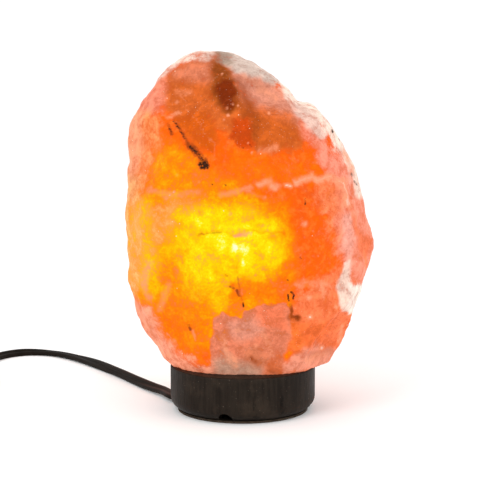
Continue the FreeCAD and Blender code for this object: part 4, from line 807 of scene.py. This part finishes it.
VEILS = [  # colour, how much of it shows, softness, outline
    ((208, 98, 38), 0.85, 8, [(164, 74), (214, 52), (240, 58), (262, 72), (296, 104), (304, 150),
                               (262, 152), (214, 126), (176, 118), (158, 100)]),
    ((222, 146, 122), 0.82, 7, [(230, 66), (262, 74), (300, 104), (300, 128), (272, 116),
                                (246, 104), (232, 84)]),
    ((206, 94, 30), 0.85, 6, [(245, 102), (290, 112), (302, 138), (286, 150), (258, 150),
                               (250, 126)]),
    ((246, 142, 116), 0.80, 6, [(298, 112), (318, 130), (330, 150), (350, 165), (352, 195),
                               (334, 190), (326, 172), (316, 156), (302, 135)]),
    ((246, 140, 110), 0.90, 6, [(130, 92), (158, 70), (167, 84), (163, 114), (136, 114)]),
    ((214, 124, 92), 0.80, 8, [(166, 72), (196, 62), (212, 62), (212, 84), (176, 80)]),
    ((206, 96, 36), 0.80, 9, [(170, 82), (212, 84), (216, 106), (196, 118), (176, 118)]),
    ((212, 90, 12), 0.85, 5, [(174, 118), (206, 112), (218, 130), (214, 152), (196, 148)]),
    # The three veils along the left rim are painted light: the peach glow that scattering gives
    # near an edge, laid as colour.
    ((253, 146, 86), 0.75, 8, [(112, 120), (146, 110), (166, 122), (156, 146), (142, 190),
                               (112, 196)]),
    ((252, 160, 122), 0.70, 6, [(110, 106), (142, 112), (142, 150), (134, 200), (110, 200)]),
    (PEACH_EDGE_GLOW, 0.55, 7, [(110, 165), (138, 178), (146, 230), (140, 292), (110, 292)]),
    ((251, 132, 84), 0.55, 7, [(322, 200), (344, 190), (344, 254), (336, 254), (330, 230)]),
    ((253, 168, 92), 0.50, 9, [(146, 205), (178, 196), (210, 190), (200, 202), (178, 216),
                                (166, 240), (150, 262)]),
    ((252, 158, 124), 0.85, 7, [(118, 292), (150, 306), (164, 334), (184, 357), (214, 368),
                                (214, 380), (160, 380), (130, 336)]),
    ((251, 124, 76), 0.80, 7, [(289, 312), (300, 292), (316, 284), (340, 262), (368, 312),
                               (360, 340), (336, 370), (300, 380), (288, 346)]),
    ((252, 116, 40), 0.70, 5, [(288, 318), (297, 322), (306, 344), (298, 356), (288, 346)]),
    ((238, 104, 40), 0.60, 6, [(298, 325), (330, 322), (322, 340), (306, 350)]),
    ((252, 148, 120), 0.85, 6, [(336, 190), (352, 168), (374, 200), (390, 242), (380, 272),
                                (362, 298), (342, 262), (336, 216)]),
    ((252, 120, 70), 0.80, 2, [(349, 204), (352, 205), (358, 228), (372, 240), (366, 268),
                               (360, 250), (352, 222)]),
    (PINK, 0.85, 4, [(280, 376), (300, 374), (326, 366), (338, 350), (318, 344), (300, 354),
                     (280, 362)]),
    ((226, 126, 92), 0.95, 1.6, [(214, 318), (222, 313), (240, 318), (246, 309), (264, 307),
                                 (288, 304), (290, 320), (288, 346), (276, 378), (212, 378),
                                 (210, 345)]),
    ((222, 146, 122), 0.70, 5, [(226, 322), (262, 318), (264, 334), (240, 340), (228, 334)]),
    ((250, 122, 78), 0.60, 4, [(252, 309), (286, 306), (286, 330), (262, 326)]),
    ((210, 120, 82), 0.80, 7, [(242, 350), (262, 348), (266, 366), (248, 370)]),
    ((200, 156, 132), 0.85, 7, [(214, 362), (226, 352), (240, 362), (262, 370), (262, 378),
                                (214, 376)]),
    ((224, 110, 60), 0.80, 6, [(266, 362), (280, 356), (284, 374), (266, 376)]),
    ((150, 70, 16), 0.90, 4, [(212, 60), (222, 64), (236, 82), (240, 106), (228, 114),
                              (217, 104), (210, 88)]),
    ((122, 38, 0), 0.92, 3, [(213, 86), (222, 78), (232, 82), (237, 100), (232, 108),
                             (222, 106)]),
    ((166, 72, 20), 0.75, 6, [(238, 78), (250, 94), (264, 124), (256, 150), (240, 112)]),
    ((198, 66, 4), 0.85, 3.5, [(234, 120), (250, 118), (254, 146), (242, 150), (230, 138)]),
    ((250, 126, 78), 0.60, 6, [(316, 178), (344, 186), (344, 216), (318, 212)]),
    # From here along the top and the upper right rim, the pale veils are partly pale salt and
    # partly painted highlight: the room's light on the rough rim, laid as colour.
    (PALE_SALT_AND_SHEEN, 0.75, 3, [(158, 66), (182, 40), (214, 40), (214, 55), (206, 61), (187, 60),
                     (168, 70), (150, 89), (140, 94)]),
    ((226, 204, 190), 0.90, 3, [(218, 40), (250, 40), (280, 60), (292, 82), (272, 84),
                                (252, 76), (234, 72), (222, 62)]),
    ((166, 138, 118), 0.75, 3, [(210, 40), (224, 40), (234, 62), (228, 66), (216, 60)]),
    ((250, 220, 202), 0.90, 3, [(278, 76), (300, 80), (326, 96), (350, 124), (368, 158),
                                (372, 200), (356, 196), (350, 172), (334, 146), (320, 122),
                                (300, 108), (286, 98)]),
    ((232, 194, 178), 0.85, 3, [(290, 104), (302, 104), (318, 118), (326, 136), (320, 140),
                                (308, 128), (298, 116)]),
    ((246, 168, 148), 0.80, 3, [(342, 214), (352, 212), (354, 246), (350, 282), (344, 282),
                                (344, 240)]),
    ((244, 208, 190), 0.95, 1.6, [(343, 262), (350, 262), (352, 284), (368, 292), (364, 309),
                                  (346, 314), (338, 304), (338, 290)]),
    ((252, 232, 218), 0.9, 3, [(350, 284), (364, 286), (364, 310), (347, 312), (350, 298)]),
]
UNDER_VEILS = 22  # mm of salt more, so that what shows through a thin veil is orange


def cover(colour, mask):
    """What is added to the veils' colour when another colour covers them by the mask."""
    return (np.array(linear(*colour)[:3]) - veil) * mask[:, None]


veil = np.zeros((len(salt_points), 3))
veil_part = np.zeros(len(salt_points))
for colour, strength, soft, corners in VEILS:
    mask = strength * region(corners, soft)
    veil += cover(colour, mask)
    veil_part += (1 - veil_part) * mask
covered = veil_part[:, None]
veil = np.where(covered > 0.02, veil / np.maximum(covered, 0.02), linear(*SALMON)[:3])
crossed += UNDER_VEILS * veil_part

# Behind and above, where the photograph doesn't reach, noise lays veils of the same kinds.
hidden = 1 - front
behind = (waves(salt_points, 30 * MM, 31) + 0.45 * waves(salt_points, 9 * MM, 36) - 0.2) / 0.7
behind = ease(behind) * hidden
veil += cover(GREY_PINK, behind)
veil_part = np.maximum(veil_part, 0.85 * behind)
crossed += 9 * hidden * waves(salt_points, 34 * MM, 32)
print("share under veils:", veil_part.mean().round(2))

# %% [markdown]
# ### Veins, cracks and rust
# Where the lump once cracked, milky salt healed it in pale veins, and clay and iron left brown
# stains and black specks. They are lines and spots a millimetre or two wide, which the points,
# about a millimetre apart, can just hold. On the hidden side noise draws them.

# %% Veins, cracks and rust
MILKY = [  # strength, width, line
    (0.78, 4.6, [(296, 182), (312, 177), (318, 180), (333, 176), (341, 181)]),
    (0.85, 4.6, [(340, 180), (346, 190), (348, 206)]),
    (0.76, 4.0, [(259, 184), (268, 182), (277, 187)]),
    (0.95, 3.2, [(285, 186), (289, 187)]), (0.70, 2.2, [(236, 235), (243, 234), (250, 235)]),
    (0.50, 4.2, [(150, 262), (145, 273), (144, 286), (149, 298)]),
    (0.55, 4.6, [(222, 338), (226, 352), (236, 366)]), (0.45, 4.6, [(264, 334), (272, 354)]),
    (0.6, 2.2, [(342, 326), (339, 342)]), (0.55, 4.4, [(317, 284), (325, 296)]),
    (0.6, 3.4, [(345, 150), (352, 172)]), (0.45, 4.4, [(168, 286), (164, 298), (160, 310)]),
    (0.5, 1.8, [(194, 330), (195, 340)]), (0.6, 2.8, [(168, 117), (179, 113)]),
    (0.45, 3.0, [(246, 192), (264, 198)]), (0.45, 4.6, [(150, 190), (172, 196), (198, 192)]),
    (0.35, 1.0, [(176, 84), (190, 112), (204, 132), (215, 143), (215, 156)]),
    (0.5, 4.6, [(298, 284), (308, 282), (330, 286)]), (0.5, 4.4, [(306, 361), (326, 352)]),
    (0.4, 5.6, [(246, 76), (262, 90), (276, 98)]), (0.45, 5.4, [(262, 150), (274, 148)]),
    (0.5, 4.0, [(222, 194), (236, 192), (250, 188)]), (0.35, 5.0, [(176, 92), (190, 92)])]
FLECKS = [  # strength, x, y, size
    (0.8, 171, 117, 2.6), (0.6, 177, 102, 2.6), (0.5, 160, 132, 2), (0.6, 151, 187, 2),
    (1, 170, 195, 1.6), (1, 174, 192, 1.5), (0.9, 222, 74, 1.5), (0.6, 236, 85, 1.6),
    (0.8, 227, 108, 1.8), (0.8, 228, 115, 2), (0.6, 233, 104, 1.6), (0.6, 224, 120, 1.6),
    (0.7, 238, 106, 1.4), (0.6, 248, 143, 1.4), (0.9, 252, 153, 1.6), (0.8, 269, 113, 1.9),
    (0.5, 276, 100, 2), (0.8, 309, 298, 3), (1, 310, 317, 2.6), (1, 322, 348, 3.4),
    (0.7, 305, 224, 4), (0.6, 327, 212, 2), (0.7, 336, 307, 2.6), (0.4, 230, 214, 3),
    (0.5, 148, 171, 1.8), (0.5, 177, 175, 2), (0.4, 199, 182, 2), (0.6, 313, 231, 1.2),
    (0.6, 320, 246, 1.2), (0.6, 318, 256, 1.2), (0.5, 186, 94, 3), (0.5, 303, 125, 2.4),
    (0.6, 174, 341, 3), (0.6, 152, 322, 3), (0.6, 160, 332, 3), (0.7, 168, 355, 3),
    (0.5, 256, 346, 3), (0.5, 238, 330, 4), (0.3, 300, 304, 3)]
DARK = [  # strength, width, line
    (0.75, 1.2, [(174, 121), (180, 130), (185, 139)]), (0.8, 2.0, [(190, 147), (197, 153)]),
    (0.8, 1.6, [(199, 155), (202, 160)]),
    (1, 2.8, [(200, 164), (206, 163), (207, 167), (202, 167)]),
    (0.6, 1.7, [(169, 127), (171, 132)]), (0.7, 1.3, [(305, 199), (305, 205)]),
    (0.9, 1.2, [(291, 292), (294, 295), (293, 299)]), (0.8, 1.2, [(288, 294), (289, 301)]),
    (0.7, 1.1, [(288, 279), (288, 281)]), (0.7, 1.1, [(300, 257), (302, 259)]),
    (0.8, 1.5, [(332, 130), (333, 132)]), (0.6, 1.2, [(339, 138), (340, 141)]),
    (0.6, 1.4, [(351, 173), (352, 176)]), (0.6, 1.4, [(354, 181), (357, 185)]),
    (0.8, 1.2, [(243, 303), (244, 306)]), (0.7, 1.1, [(225, 185), (227, 185)]),
    (0.7, 1.1, [(211, 184), (212, 185)]), (0.6, 1.4, [(242, 148), (244, 149)]),
    (0.6, 1.4, [(249, 145), (251, 147)]), (0.6, 1.2, [(345, 314), (347, 315)]),
    (0.45, 1.0, [(329, 154), (338, 160)]), (0.5, 1.5, [(294, 315), (298, 318)])]
RUST = [  # strength, width, line
    (0.8, 4.4, [(291, 317), (298, 318)]), (0.7, 2.6, [(290, 304), (292, 312)]),
    (0.5, 1.4, [(199, 234), (212, 234), (222, 233)]), (0.6, 1.8, [(231, 286), (234, 288)]),
    (0.35, 1.5, [(238, 276), (240, 292), (244, 306)]),
    (0.2, 1.6, [(286, 262), (288, 300)]), (0.8, 3.8, [(188, 144), (204, 160)]),
    (0.7, 2.6, [(168, 124), (172, 134)]), (0.6, 2.0, [(188, 325), (191, 329)]),
    (0.6, 4.0, [(252, 358), (256, 362)]), (0.5, 2.4, [(270, 371), (274, 372)]),
    (0.3, 3.0, [(326, 336), (334, 342)]), (0.25, 4.0, [(300, 330), (310, 344)]),
    (0.6, 2.2, [(174, 120), (180, 130), (190, 146)]), (0.4, 5.0, [(310, 355), (330, 350)]),
    (0.5, 1.6, [(226, 275), (227, 276)]), (0.6, 1.6, [(237, 290), (239, 296)])]


def strongest(lines, off=1.0):
    """The strongest of several streaks at each point."""
    return np.maximum.reduce([power * streak(corners, width, off)
                              for power, width, corners in lines])


milky = np.maximum(strongest(MILKY),
                   np.maximum.reduce([power * spot(x, y, size, size)
                                      for power, x, y, size in FLECKS]))
veins = ease(1 - np.abs(waves(salt_points, 34 * MM, 33)) / 0.07)
veins *= ease((waves(salt_points, 26 * MM, 37) - 0.1) / 0.8)
milky = np.maximum(milky, 0.6 * veins * hidden)
specks = waves(salt_points, 5 * MM, 34) - 1.8
dark = np.maximum(strongest(DARK, 0.3), hidden * ease(specks / 0.5))
stains = waves(salt_points, 19 * MM, 35) + 0.6 * waves(salt_points, 5 * MM, 38) - 1.3
rust = np.maximum(strongest(RUST, 0.4), 0.6 * hidden * ease(stains / 0.7))
print("marks, largest: milky", milky.max().round(2), "dark", dark.max().round(2), "rust",
      rust.max().round(2))

# %% [markdown]
# Last, each point gets the share of its colour that is light from inside. It is less where more
# salt was crossed, and whole inside the cavity.

# %% Paint the lump
LIT_AT_FIRST, LIT_OUT = 0.95, 260  # the share at 0 mm of salt, and the mm that would take 1 off it
lit_share = np.clip(LIT_AT_FIRST - crossed / LIT_OUT, 0.4, 0.85)
lit_share[in_cavity] = 1.0
for name, values in {"crossed": crossed, "veil": veil, "veil_part": veil_part, "milky": milky,
                     "dark": dark, "rust": rust, "lit": lit_share}.items():
    paint(salt, name, values)
print("share of light from inside:", lit_share.min().round(2), "to", lit_share.max().round(2))

# %% [markdown]
# ### The salt's shader
# Fine noise does what the points are too coarse for. It mottles the millimetres of salt before
# they become a colour, tears the rims of the veils, veins and cracks, and strews pale grains. The
# ramp from millimetres to colours follows the photograph, from the bulb outwards.

# %% Colour by the salt crossed
LIGHT_RAMP = [  # mm of salt, colour
    (15, (255, 252, 206)), (21, (255, 246, 110)), (26, (254, 236, 12)), (33, (254, 216, 0)),
    (40, (253, 194, 0)), (48, (253, 168, 0)), (56, (253, 140, 0)), (65, (252, 116, 2)),
    (78, (250, 98, 4)), (95, (236, 88, 14)), (120, (216, 96, 44)), (155, (204, 108, 76))]
RAMP_LOW = 15.0
RAMP_HIGH = 155.0
FINE_SHARE = 0.45
MOTTLE_MIDDLE = 0.5 + FINE_SHARE / 2  # both noises have 0.5 as their middle
MOTTLE_MM = 52.0
PINKER_FROM, PINKER_TO = 52.0, 84.0  # mm of salt


def painted(tree, name, output="Fac"):
    """A number or colour painted on the piece."""
    return add(tree, "Attribute", attribute_name=name).outputs[output]


def swayed(tree, value, wobble, amount, middle=MOTTLE_MIDDLE):
    """value plus amount times what the wobble has over its middle."""
    return sum_of(tree, wobble, amount, sum_of(tree, -amount * middle, 1.0, value))


def glow_colour(tree, mottle):
    """The colour of the light after the salt crossed, with pinker clouds where it is deep."""
    crossed_mm = painted(tree, "crossed")
    shaken = swayed(tree, crossed_mm, mottle, MOTTLE_MM)
    ramp = add(tree, "ValToRGB", Fac=add(tree, "MapRange", Value=shaken, From_Min=RAMP_LOW,
                                         From_Max=RAMP_HIGH).outputs[0])
    stops = ramp.color_ramp.elements
    for place, colour in LIGHT_RAMP[1:-1]:
        stops.new((place - RAMP_LOW) / (RAMP_HIGH - RAMP_LOW)).color = linear(*colour)
    stops[0].color = linear(*LIGHT_RAMP[0][1])
    stops[-1].color = linear(*LIGHT_RAMP[-1][1])
    pinker = product(tree, spread(tree, noise(tree, 190, 6, 0.62), 0.46, 0.68, 0.0, 0.55),
                     spread(tree, crossed_mm, PINKER_FROM, PINKER_TO))
    return between(tree, pinker, ramp.outputs[0], (254, 128, 46))


# %% [markdown]
# Over this lie the veils and the marks. A painted mask has soft rims, and noise tears them: the
# mask is multiplied by it or added to it, and what comes out is stretched until only a narrow rim
# is neither on nor off.

# %% Veils and marks
RAGGED = 1.9
RAGGED_MIDDLE = 0.7263


def torn(tree, name, low, high, amount, wobble, middle=0.72):
    """A painted mask times noise round 1, so that its rim is torn and it thins out."""
    shaken = sum_of(tree, wobble, amount, 1.0 - middle * amount)
    return spread(tree, product(tree, painted(tree, name), shaken), low, high)


def with_marks(tree, base, mottle, fine):
    """Lays the veils, the rust, the milky veins and the cracks over a colour, in this order."""
    share = swayed(tree, painted(tree, "veil_part"), mottle, RAGGED, RAGGED_MIDDLE)
    shaded = scaled(tree, painted(tree, "veil", "Color"),
                    spread(tree, mottle, 0.5, 0.95, 0.70, 1.22))
    base = between(tree, spread(tree, share, 0.04, 0.98), base, shaded)
    base = between(tree, torn(tree, "rust", 0.12, 0.85, 3.0, mottle), base, CLAY)
    pale = between(tree, spread(tree, painted(tree, "milky"), 0.72, 1.0), (248, 156, 116),
                   (252, 232, 218))
    base = between(tree, torn(tree, "milky", 0.08, 0.95, 2.2, mottle), base, pale)
    return between(tree, torn(tree, "dark", 0.25, 0.85, 2.6, fine, 0.5), base, (58, 30, 18))


# %% [markdown]
# A Voronoi texture fills space with cells, and gives each its own random colour and the distance
# to its middle. The spots in the middle of a few chosen cells are painted glints, the glitter of
# single grains laid as colour, and a finer one in more cells is the pale dust of bruised salt.

# %% Painted glints of grains, and dust
def few_of(tree, cells, low, high):
    """1 in the few cells whose own random colour has much red, else 0."""
    return spread(tree, add(tree, "SeparateColor", Color=cells.outputs["Color"]).outputs[0],
                  low, high)


def with_grains(tree, base, grains):
    """A thin haze, painted glints on single grains, and pale dust on the veils."""
    haze = spread(tree, noise(tree, 300, 6, 0.7), 0.58, 0.74, 0.0, 0.06)
    base = between(tree, haze, base, (252, 150, 104))
    # Painted glints: a few grains get a bright colour, as if they caught the light.
    grain_glint = product(tree, spread(tree, grains.outputs["Distance"], 0.10, 0.2, 1.0, 0.0),
                     few_of(tree, grains, 0.975, 0.985))
    base = between(tree, grain_glint, base, (255, 214, 184))
    dust = add(tree, "TexVoronoi", Vector=where(tree), Scale=950)
    dusty = product(tree, spread(tree, dust.outputs["Distance"], 0.12, 0.32, 0.34, 0.0),
                    painted(tree, "veil_part"))
    return between(tree, product(tree, dusty, few_of(tree, dust, 0.86, 0.92)), base,
                   (255, 222, 204))


# %% [markdown]
# The finished colour is split in two. One share is the light from inside, which the surface
# sends out by itself. The other is a plain matt colour under the light of the room, which gives
# the flats and scoops their shading.

# %% The salt's finish
def salt_finish():
    """Colour by the salt crossed, then veils, rust, milky veins, cracks and grains."""
    material, tree, surface = new_material("salt_crystal", Roughness=0.46,
                                           Specular_IOR_Level=0.03, Emission_Strength=1.0)
    clouds = noise(tree, 120, 8, 0.62, Distortion=0.4)
    fine = noise(tree, 620, 5, 0.62)
    grains = add(tree, "TexVoronoi", Vector=where(tree), Scale=420)
    mottle = sum_of(tree, fine, FINE_SHARE, clouds)
    base = with_marks(tree, glow_colour(tree, mottle), mottle, fine)
    base = with_grains(tree, base, grains)
    inside = painted(tree, "lit")
    room = add(tree, "Math", operation="SUBTRACT", Value=1.0, Value_001=inside).outputs[0]
    feed(tree, surface.inputs["Emission Color"], scaled(tree, base, inside))
    feed(tree, surface.inputs["Base Color"], scaled(tree, base, room))
    height = sum_of(tree, grains.outputs["Distance"], 0.4, noise(tree, 420, 6, 0.65))
    relief(tree, surface, height, 0.8 * MM, 0.6)
    return material


salt.data.materials.append(salt_finish())
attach(salt, "root")
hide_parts("salt_crystal")
print("the salt's shader has", len(salt.data.materials[0].node_tree.nodes), "nodes")

# %% [markdown]
# ## Wood, felt, plastics and metals
# The pieces that the construction gives in their final shape keep it, and get a finish. Each
# finish has the unevenness of the real material: clouds of colour, a fine grain and a roughness
# that varies.

# %% A general finish
def plain_finish(name, dark_colour, light_colour, roughness, size, rise=0.0, metal=0, level=0.5,
                 stretch=(1, 1, 1)):
    """Clouds size mm wide between two colours, a roughness that follows them, and a relief that
    rises so many mm."""
    material, tree, surface = new_material(name, Metallic=metal, Specular_IOR_Level=level)
    place = where(tree, scale=stretch)
    clouds = noise(tree, 1 / (size * MM), 6, 0.6, place)
    feed(tree, surface.inputs["Base Color"],
         between(tree, spread(tree, clouds, 0.32, 0.68), dark_colour, light_colour))
    feed(tree, surface.inputs["Roughness"],
         spread(tree, clouds, 0.3, 0.7, roughness - 0.07, roughness + 0.07))
    if rise:
        relief(tree, surface, noise(tree, 4 / (size * MM), 4, 0.6, place), rise * MM, 0.6)
    return material


def flex_finish():
    """Black plastic with a brown cast; where the lump's light reaches it, it looks warmer."""
    material = plain_finish("black_flex", (22, 17, 13), (34, 27, 22), 0.5, 7, 0.05, level=0.05)
    tree = material.node_tree
    surface = tree.nodes["Principled BSDF"]
    surface.inputs["Emission Strength"].default_value = 1.0
    feed(tree, surface.inputs["Emission Color"],
         between(tree, painted(tree, "warm"), (0, 0, 0), (64, 26, 10)))
    return material


FINISHES = {  # slot: name, dark and light colour, roughness, clouds and relief in mm
    "felt": plain_finish("felt", (52, 43, 36), (78, 66, 56), 0.95, 3, 0.5, level=0.05),
    "steel": plain_finish("zinc_plated_steel", (170, 172, 176), (205, 206, 208), 0.34, 4, 0.03,
                          metal=1),
    "spring_steel": plain_finish("spring_steel", (178, 178, 178), (214, 213, 210), 0.28, 5, 0.02,
                                 metal=1, stretch=(1, 1, 8)),
    "nylon": plain_finish("natural_nylon", (214, 210, 196), (236, 232, 220), 0.5, 6, 0.04),
    "black_plastic": plain_finish("black_moulded_plastic", (30, 30, 31), (42, 41, 41), 0.45, 5,
                                  0.05, level=0.35),
    "rubber": plain_finish("black_rubber", (30, 29, 29), (46, 44, 43), 0.78, 3, 0.06, level=0.3),
    "ceramic": plain_finish("steatite", (214, 208, 190), (236, 232, 220), 0.6, 4, 0.05),
    "brass": plain_finish("brass", (190, 150, 84), (226, 190, 116), 0.3, 5, 0.03, metal=1),
    "black_glass": plain_finish("black_glass", (26, 22, 30), (44, 38, 50), 0.12, 4),
    "solder": plain_finish("solder", (150, 152, 156), (190, 192, 196), 0.42, 1, 0.05, metal=1),
    "nickel": plain_finish("nickel_wire", (176, 172, 162), (206, 202, 192), 0.3, 2, metal=1),
    "flex_pvc": flex_finish(),
    "tie_fabric": plain_finish("hook_and_loop", (30, 30, 33), (58, 58, 62), 0.9, 0.8, 0.3,
                               level=0.2),
    "dimmer_plastic": plain_finish("dimmer_case", (24, 23, 23), (34, 33, 32), 0.5, 1.2, 0.08,
                                   level=0.2),
    "wheel_plastic": plain_finish("dimmer_wheel", (44, 44, 44), (62, 61, 60), 0.34, 4, 0.04),
    "grey_metal": plain_finish("tinned_can", (120, 122, 124), (158, 160, 162), 0.4, 3, 0.03,
                               metal=1),
    "board": plain_finish("circuit_board", (22, 84, 44), (36, 112, 60), 0.4, 3, 0.03),
    "capacitor_film": plain_finish("dipped_capacitor", (150, 66, 24), (178, 88, 36), 0.25, 3),
    "nickel_brass": plain_finish("nickel_plate", (196, 192, 182), (226, 223, 214), 0.22, 6, 0.02,
                                 metal=1),
}
print("plain finishes:", len(FINISHES))

# %% [markdown]
# ### Dark stained wood
# The base is turned from open-grained wood and stained nearly black. Its pores show as darker
# dashes that run up the side, in bands, and it is rubbed a little paler in patches. Noise squeezed
# along Z gives long dashes, a coarser one says in which bands they are, and a third the rubbing.

# %% The wood of the base
def wood_finish():
    """Dark stain over open grain: bands of pores that run up the side, specks and worn spots."""
    material, tree, surface = new_material("dark_stained_wood", Specular_IOR_Level=0.07)
    bands = noise(tree, 46, 3, 0.55, where(tree, scale=(1, 1, 0.16)))
    pores = noise(tree, 620, 3, 0.6, where(tree, scale=(1, 1, 0.22)))
    fibres = noise(tree, 420, 5, 0.62, where(tree, scale=(1, 1, 0.07)))
    worn = noise(tree, 60, 6, 0.6)
    dust = noise(tree, 900, 2)
    tone = between(tree, spread(tree, fibres, 0.34, 0.68), (27, 21, 16), (38, 31, 25))
    tone = between(tree, spread(tree, worn, 0.46, 0.74, 0, 0.6), tone, (58, 48, 39))
    porous = product(tree, spread(tree, bands, 0.53, 0.62),
                     spread(tree, pores, 0.47, 0.60, 0.0, 0.85))
    tone = between(tree, porous, tone, (12, 7, 4))
    tone = between(tree, spread(tree, dust, 0.70, 0.76, 0, 0.5), tone, (120, 108, 96))
    feed(tree, surface.inputs["Base Color"], tone)
    feed(tree, surface.inputs["Roughness"], spread(tree, worn, 0.3, 0.7, 0.40, 0.58))
    relief(tree, surface, pores, 0.3 * MM, 0.7)
    return material


FINISHES["wood"] = wood_finish()

# %% [markdown]
# ### The bulb's glass and wire
# Inside the lump nobody sees the bulb, but it shows when the holder is drawn out. Its glass is
# clear, so light goes through it, and its wire glows.

# %% Glass and the glowing filament
def glass_finish():
    """Thin clear glass: it lets light through and shines at the rim."""
    material, tree, surface = new_material("bulb_glass", Roughness=0.05, IOR=1.45,
                                           Transmission_Weight=1.0)
    feed(tree, surface.inputs["Base Color"],
         between(tree, noise(tree, 160, 3), (248, 244, 236), (255, 253, 248)))
    return material


def filament_finish():
    """Hot wire, a little cooler where the noise is low."""
    material, tree, surface = new_material("hot_filament", Roughness=0.5, Emission_Strength=12.0)
    tone = between(tree, noise(tree, 400, 3), (255, 190, 90), (255, 226, 150))
    feed(tree, surface.inputs["Base Color"], tone)
    feed(tree, surface.inputs["Emission Color"], tone)
    return material


FINISHES["glass"] = glass_finish()
FINISHES["tungsten"] = filament_finish()
FINISHES["salt"] = salt.data.materials[0]
print("finishes:", len(FINISHES))

# %% [markdown]
# ### Dressing the pieces
# The record names a slot for each piece of the construction, and every slot has its finish now.

# %% Dress every piece
for part in frame["record"]["subparts"]:
    for slot in nodes[part["node"]].material_slots:
        slot.material = FINISHES[part["material_slot"]]
for piece in (flex_run, flex_tail, flex_inner):
    piece.data.materials.append(FINISHES["flex_pvc"])

# %% [markdown]
# ## Floor and light
# The photograph has a plain white ground. A wide pale floor under an even white sky gives that,
# and two large soft lights give the pieces some shape.

# %% Floor, sky and lights
FLOOR_HALF = 12.0


def floor_finish():
    """A pale matt floor with hardly visible clouds."""
    material, tree, surface = new_material("pale_floor", Roughness=0.9, Specular_IOR_Level=0.0)
    feed(tree, surface.inputs["Base Color"],
         between(tree, noise(tree, 1.2, 2), (0.95, 0.95, 0.95, 1), (0.96, 0.96, 0.96, 1)))
    return material


floor_mesh = bpy.data.meshes.new("floor")
floor_mesh.from_pydata([(-FLOOR_HALF, -FLOOR_HALF, 0), (FLOOR_HALF, -FLOOR_HALF, 0),
                        (FLOOR_HALF, FLOOR_HALF, 0), (-FLOOR_HALF, FLOOR_HALF, 0)], [],
                       [(0, 1, 2, 3)])
floor = bpy.data.objects.new("floor", floor_mesh)
scene.collection.objects.link(floor)
floor.data.materials.append(floor_finish())

world = bpy.data.worlds.new("white_sky")
scene.world = world
world.use_nodes = True
sky = world.node_tree.nodes["Background"]
sky.inputs["Color"].default_value = (1, 1, 1, 1)
sky.inputs["Strength"].default_value = 1.08


def soft_light(name, at, aim, side, power):
    """A square lamp that looks at a point."""
    lamp = bpy.data.lights.new(name, "AREA")
    lamp.size = side
    lamp.energy = power
    holder = bpy.data.objects.new(name, lamp)
    holder.location = at
    away = np.subtract(at, aim)
    holder.rotation_euler = (np.arctan2(np.hypot(away[0], away[1]), away[2]), 0,
                             np.arctan2(away[0], -away[1]))
    scene.collection.objects.link(holder)


soft_light("key", (-0.9, -1.1, 1.3), (0, 0, 0.1), 0.9, 9)
soft_light("fill", (1.2, -0.7, 0.8), (0, 0, 0.1), 1.2, 4)
scene.view_settings.view_transform = "Standard"
scene.view_settings.look = "None"
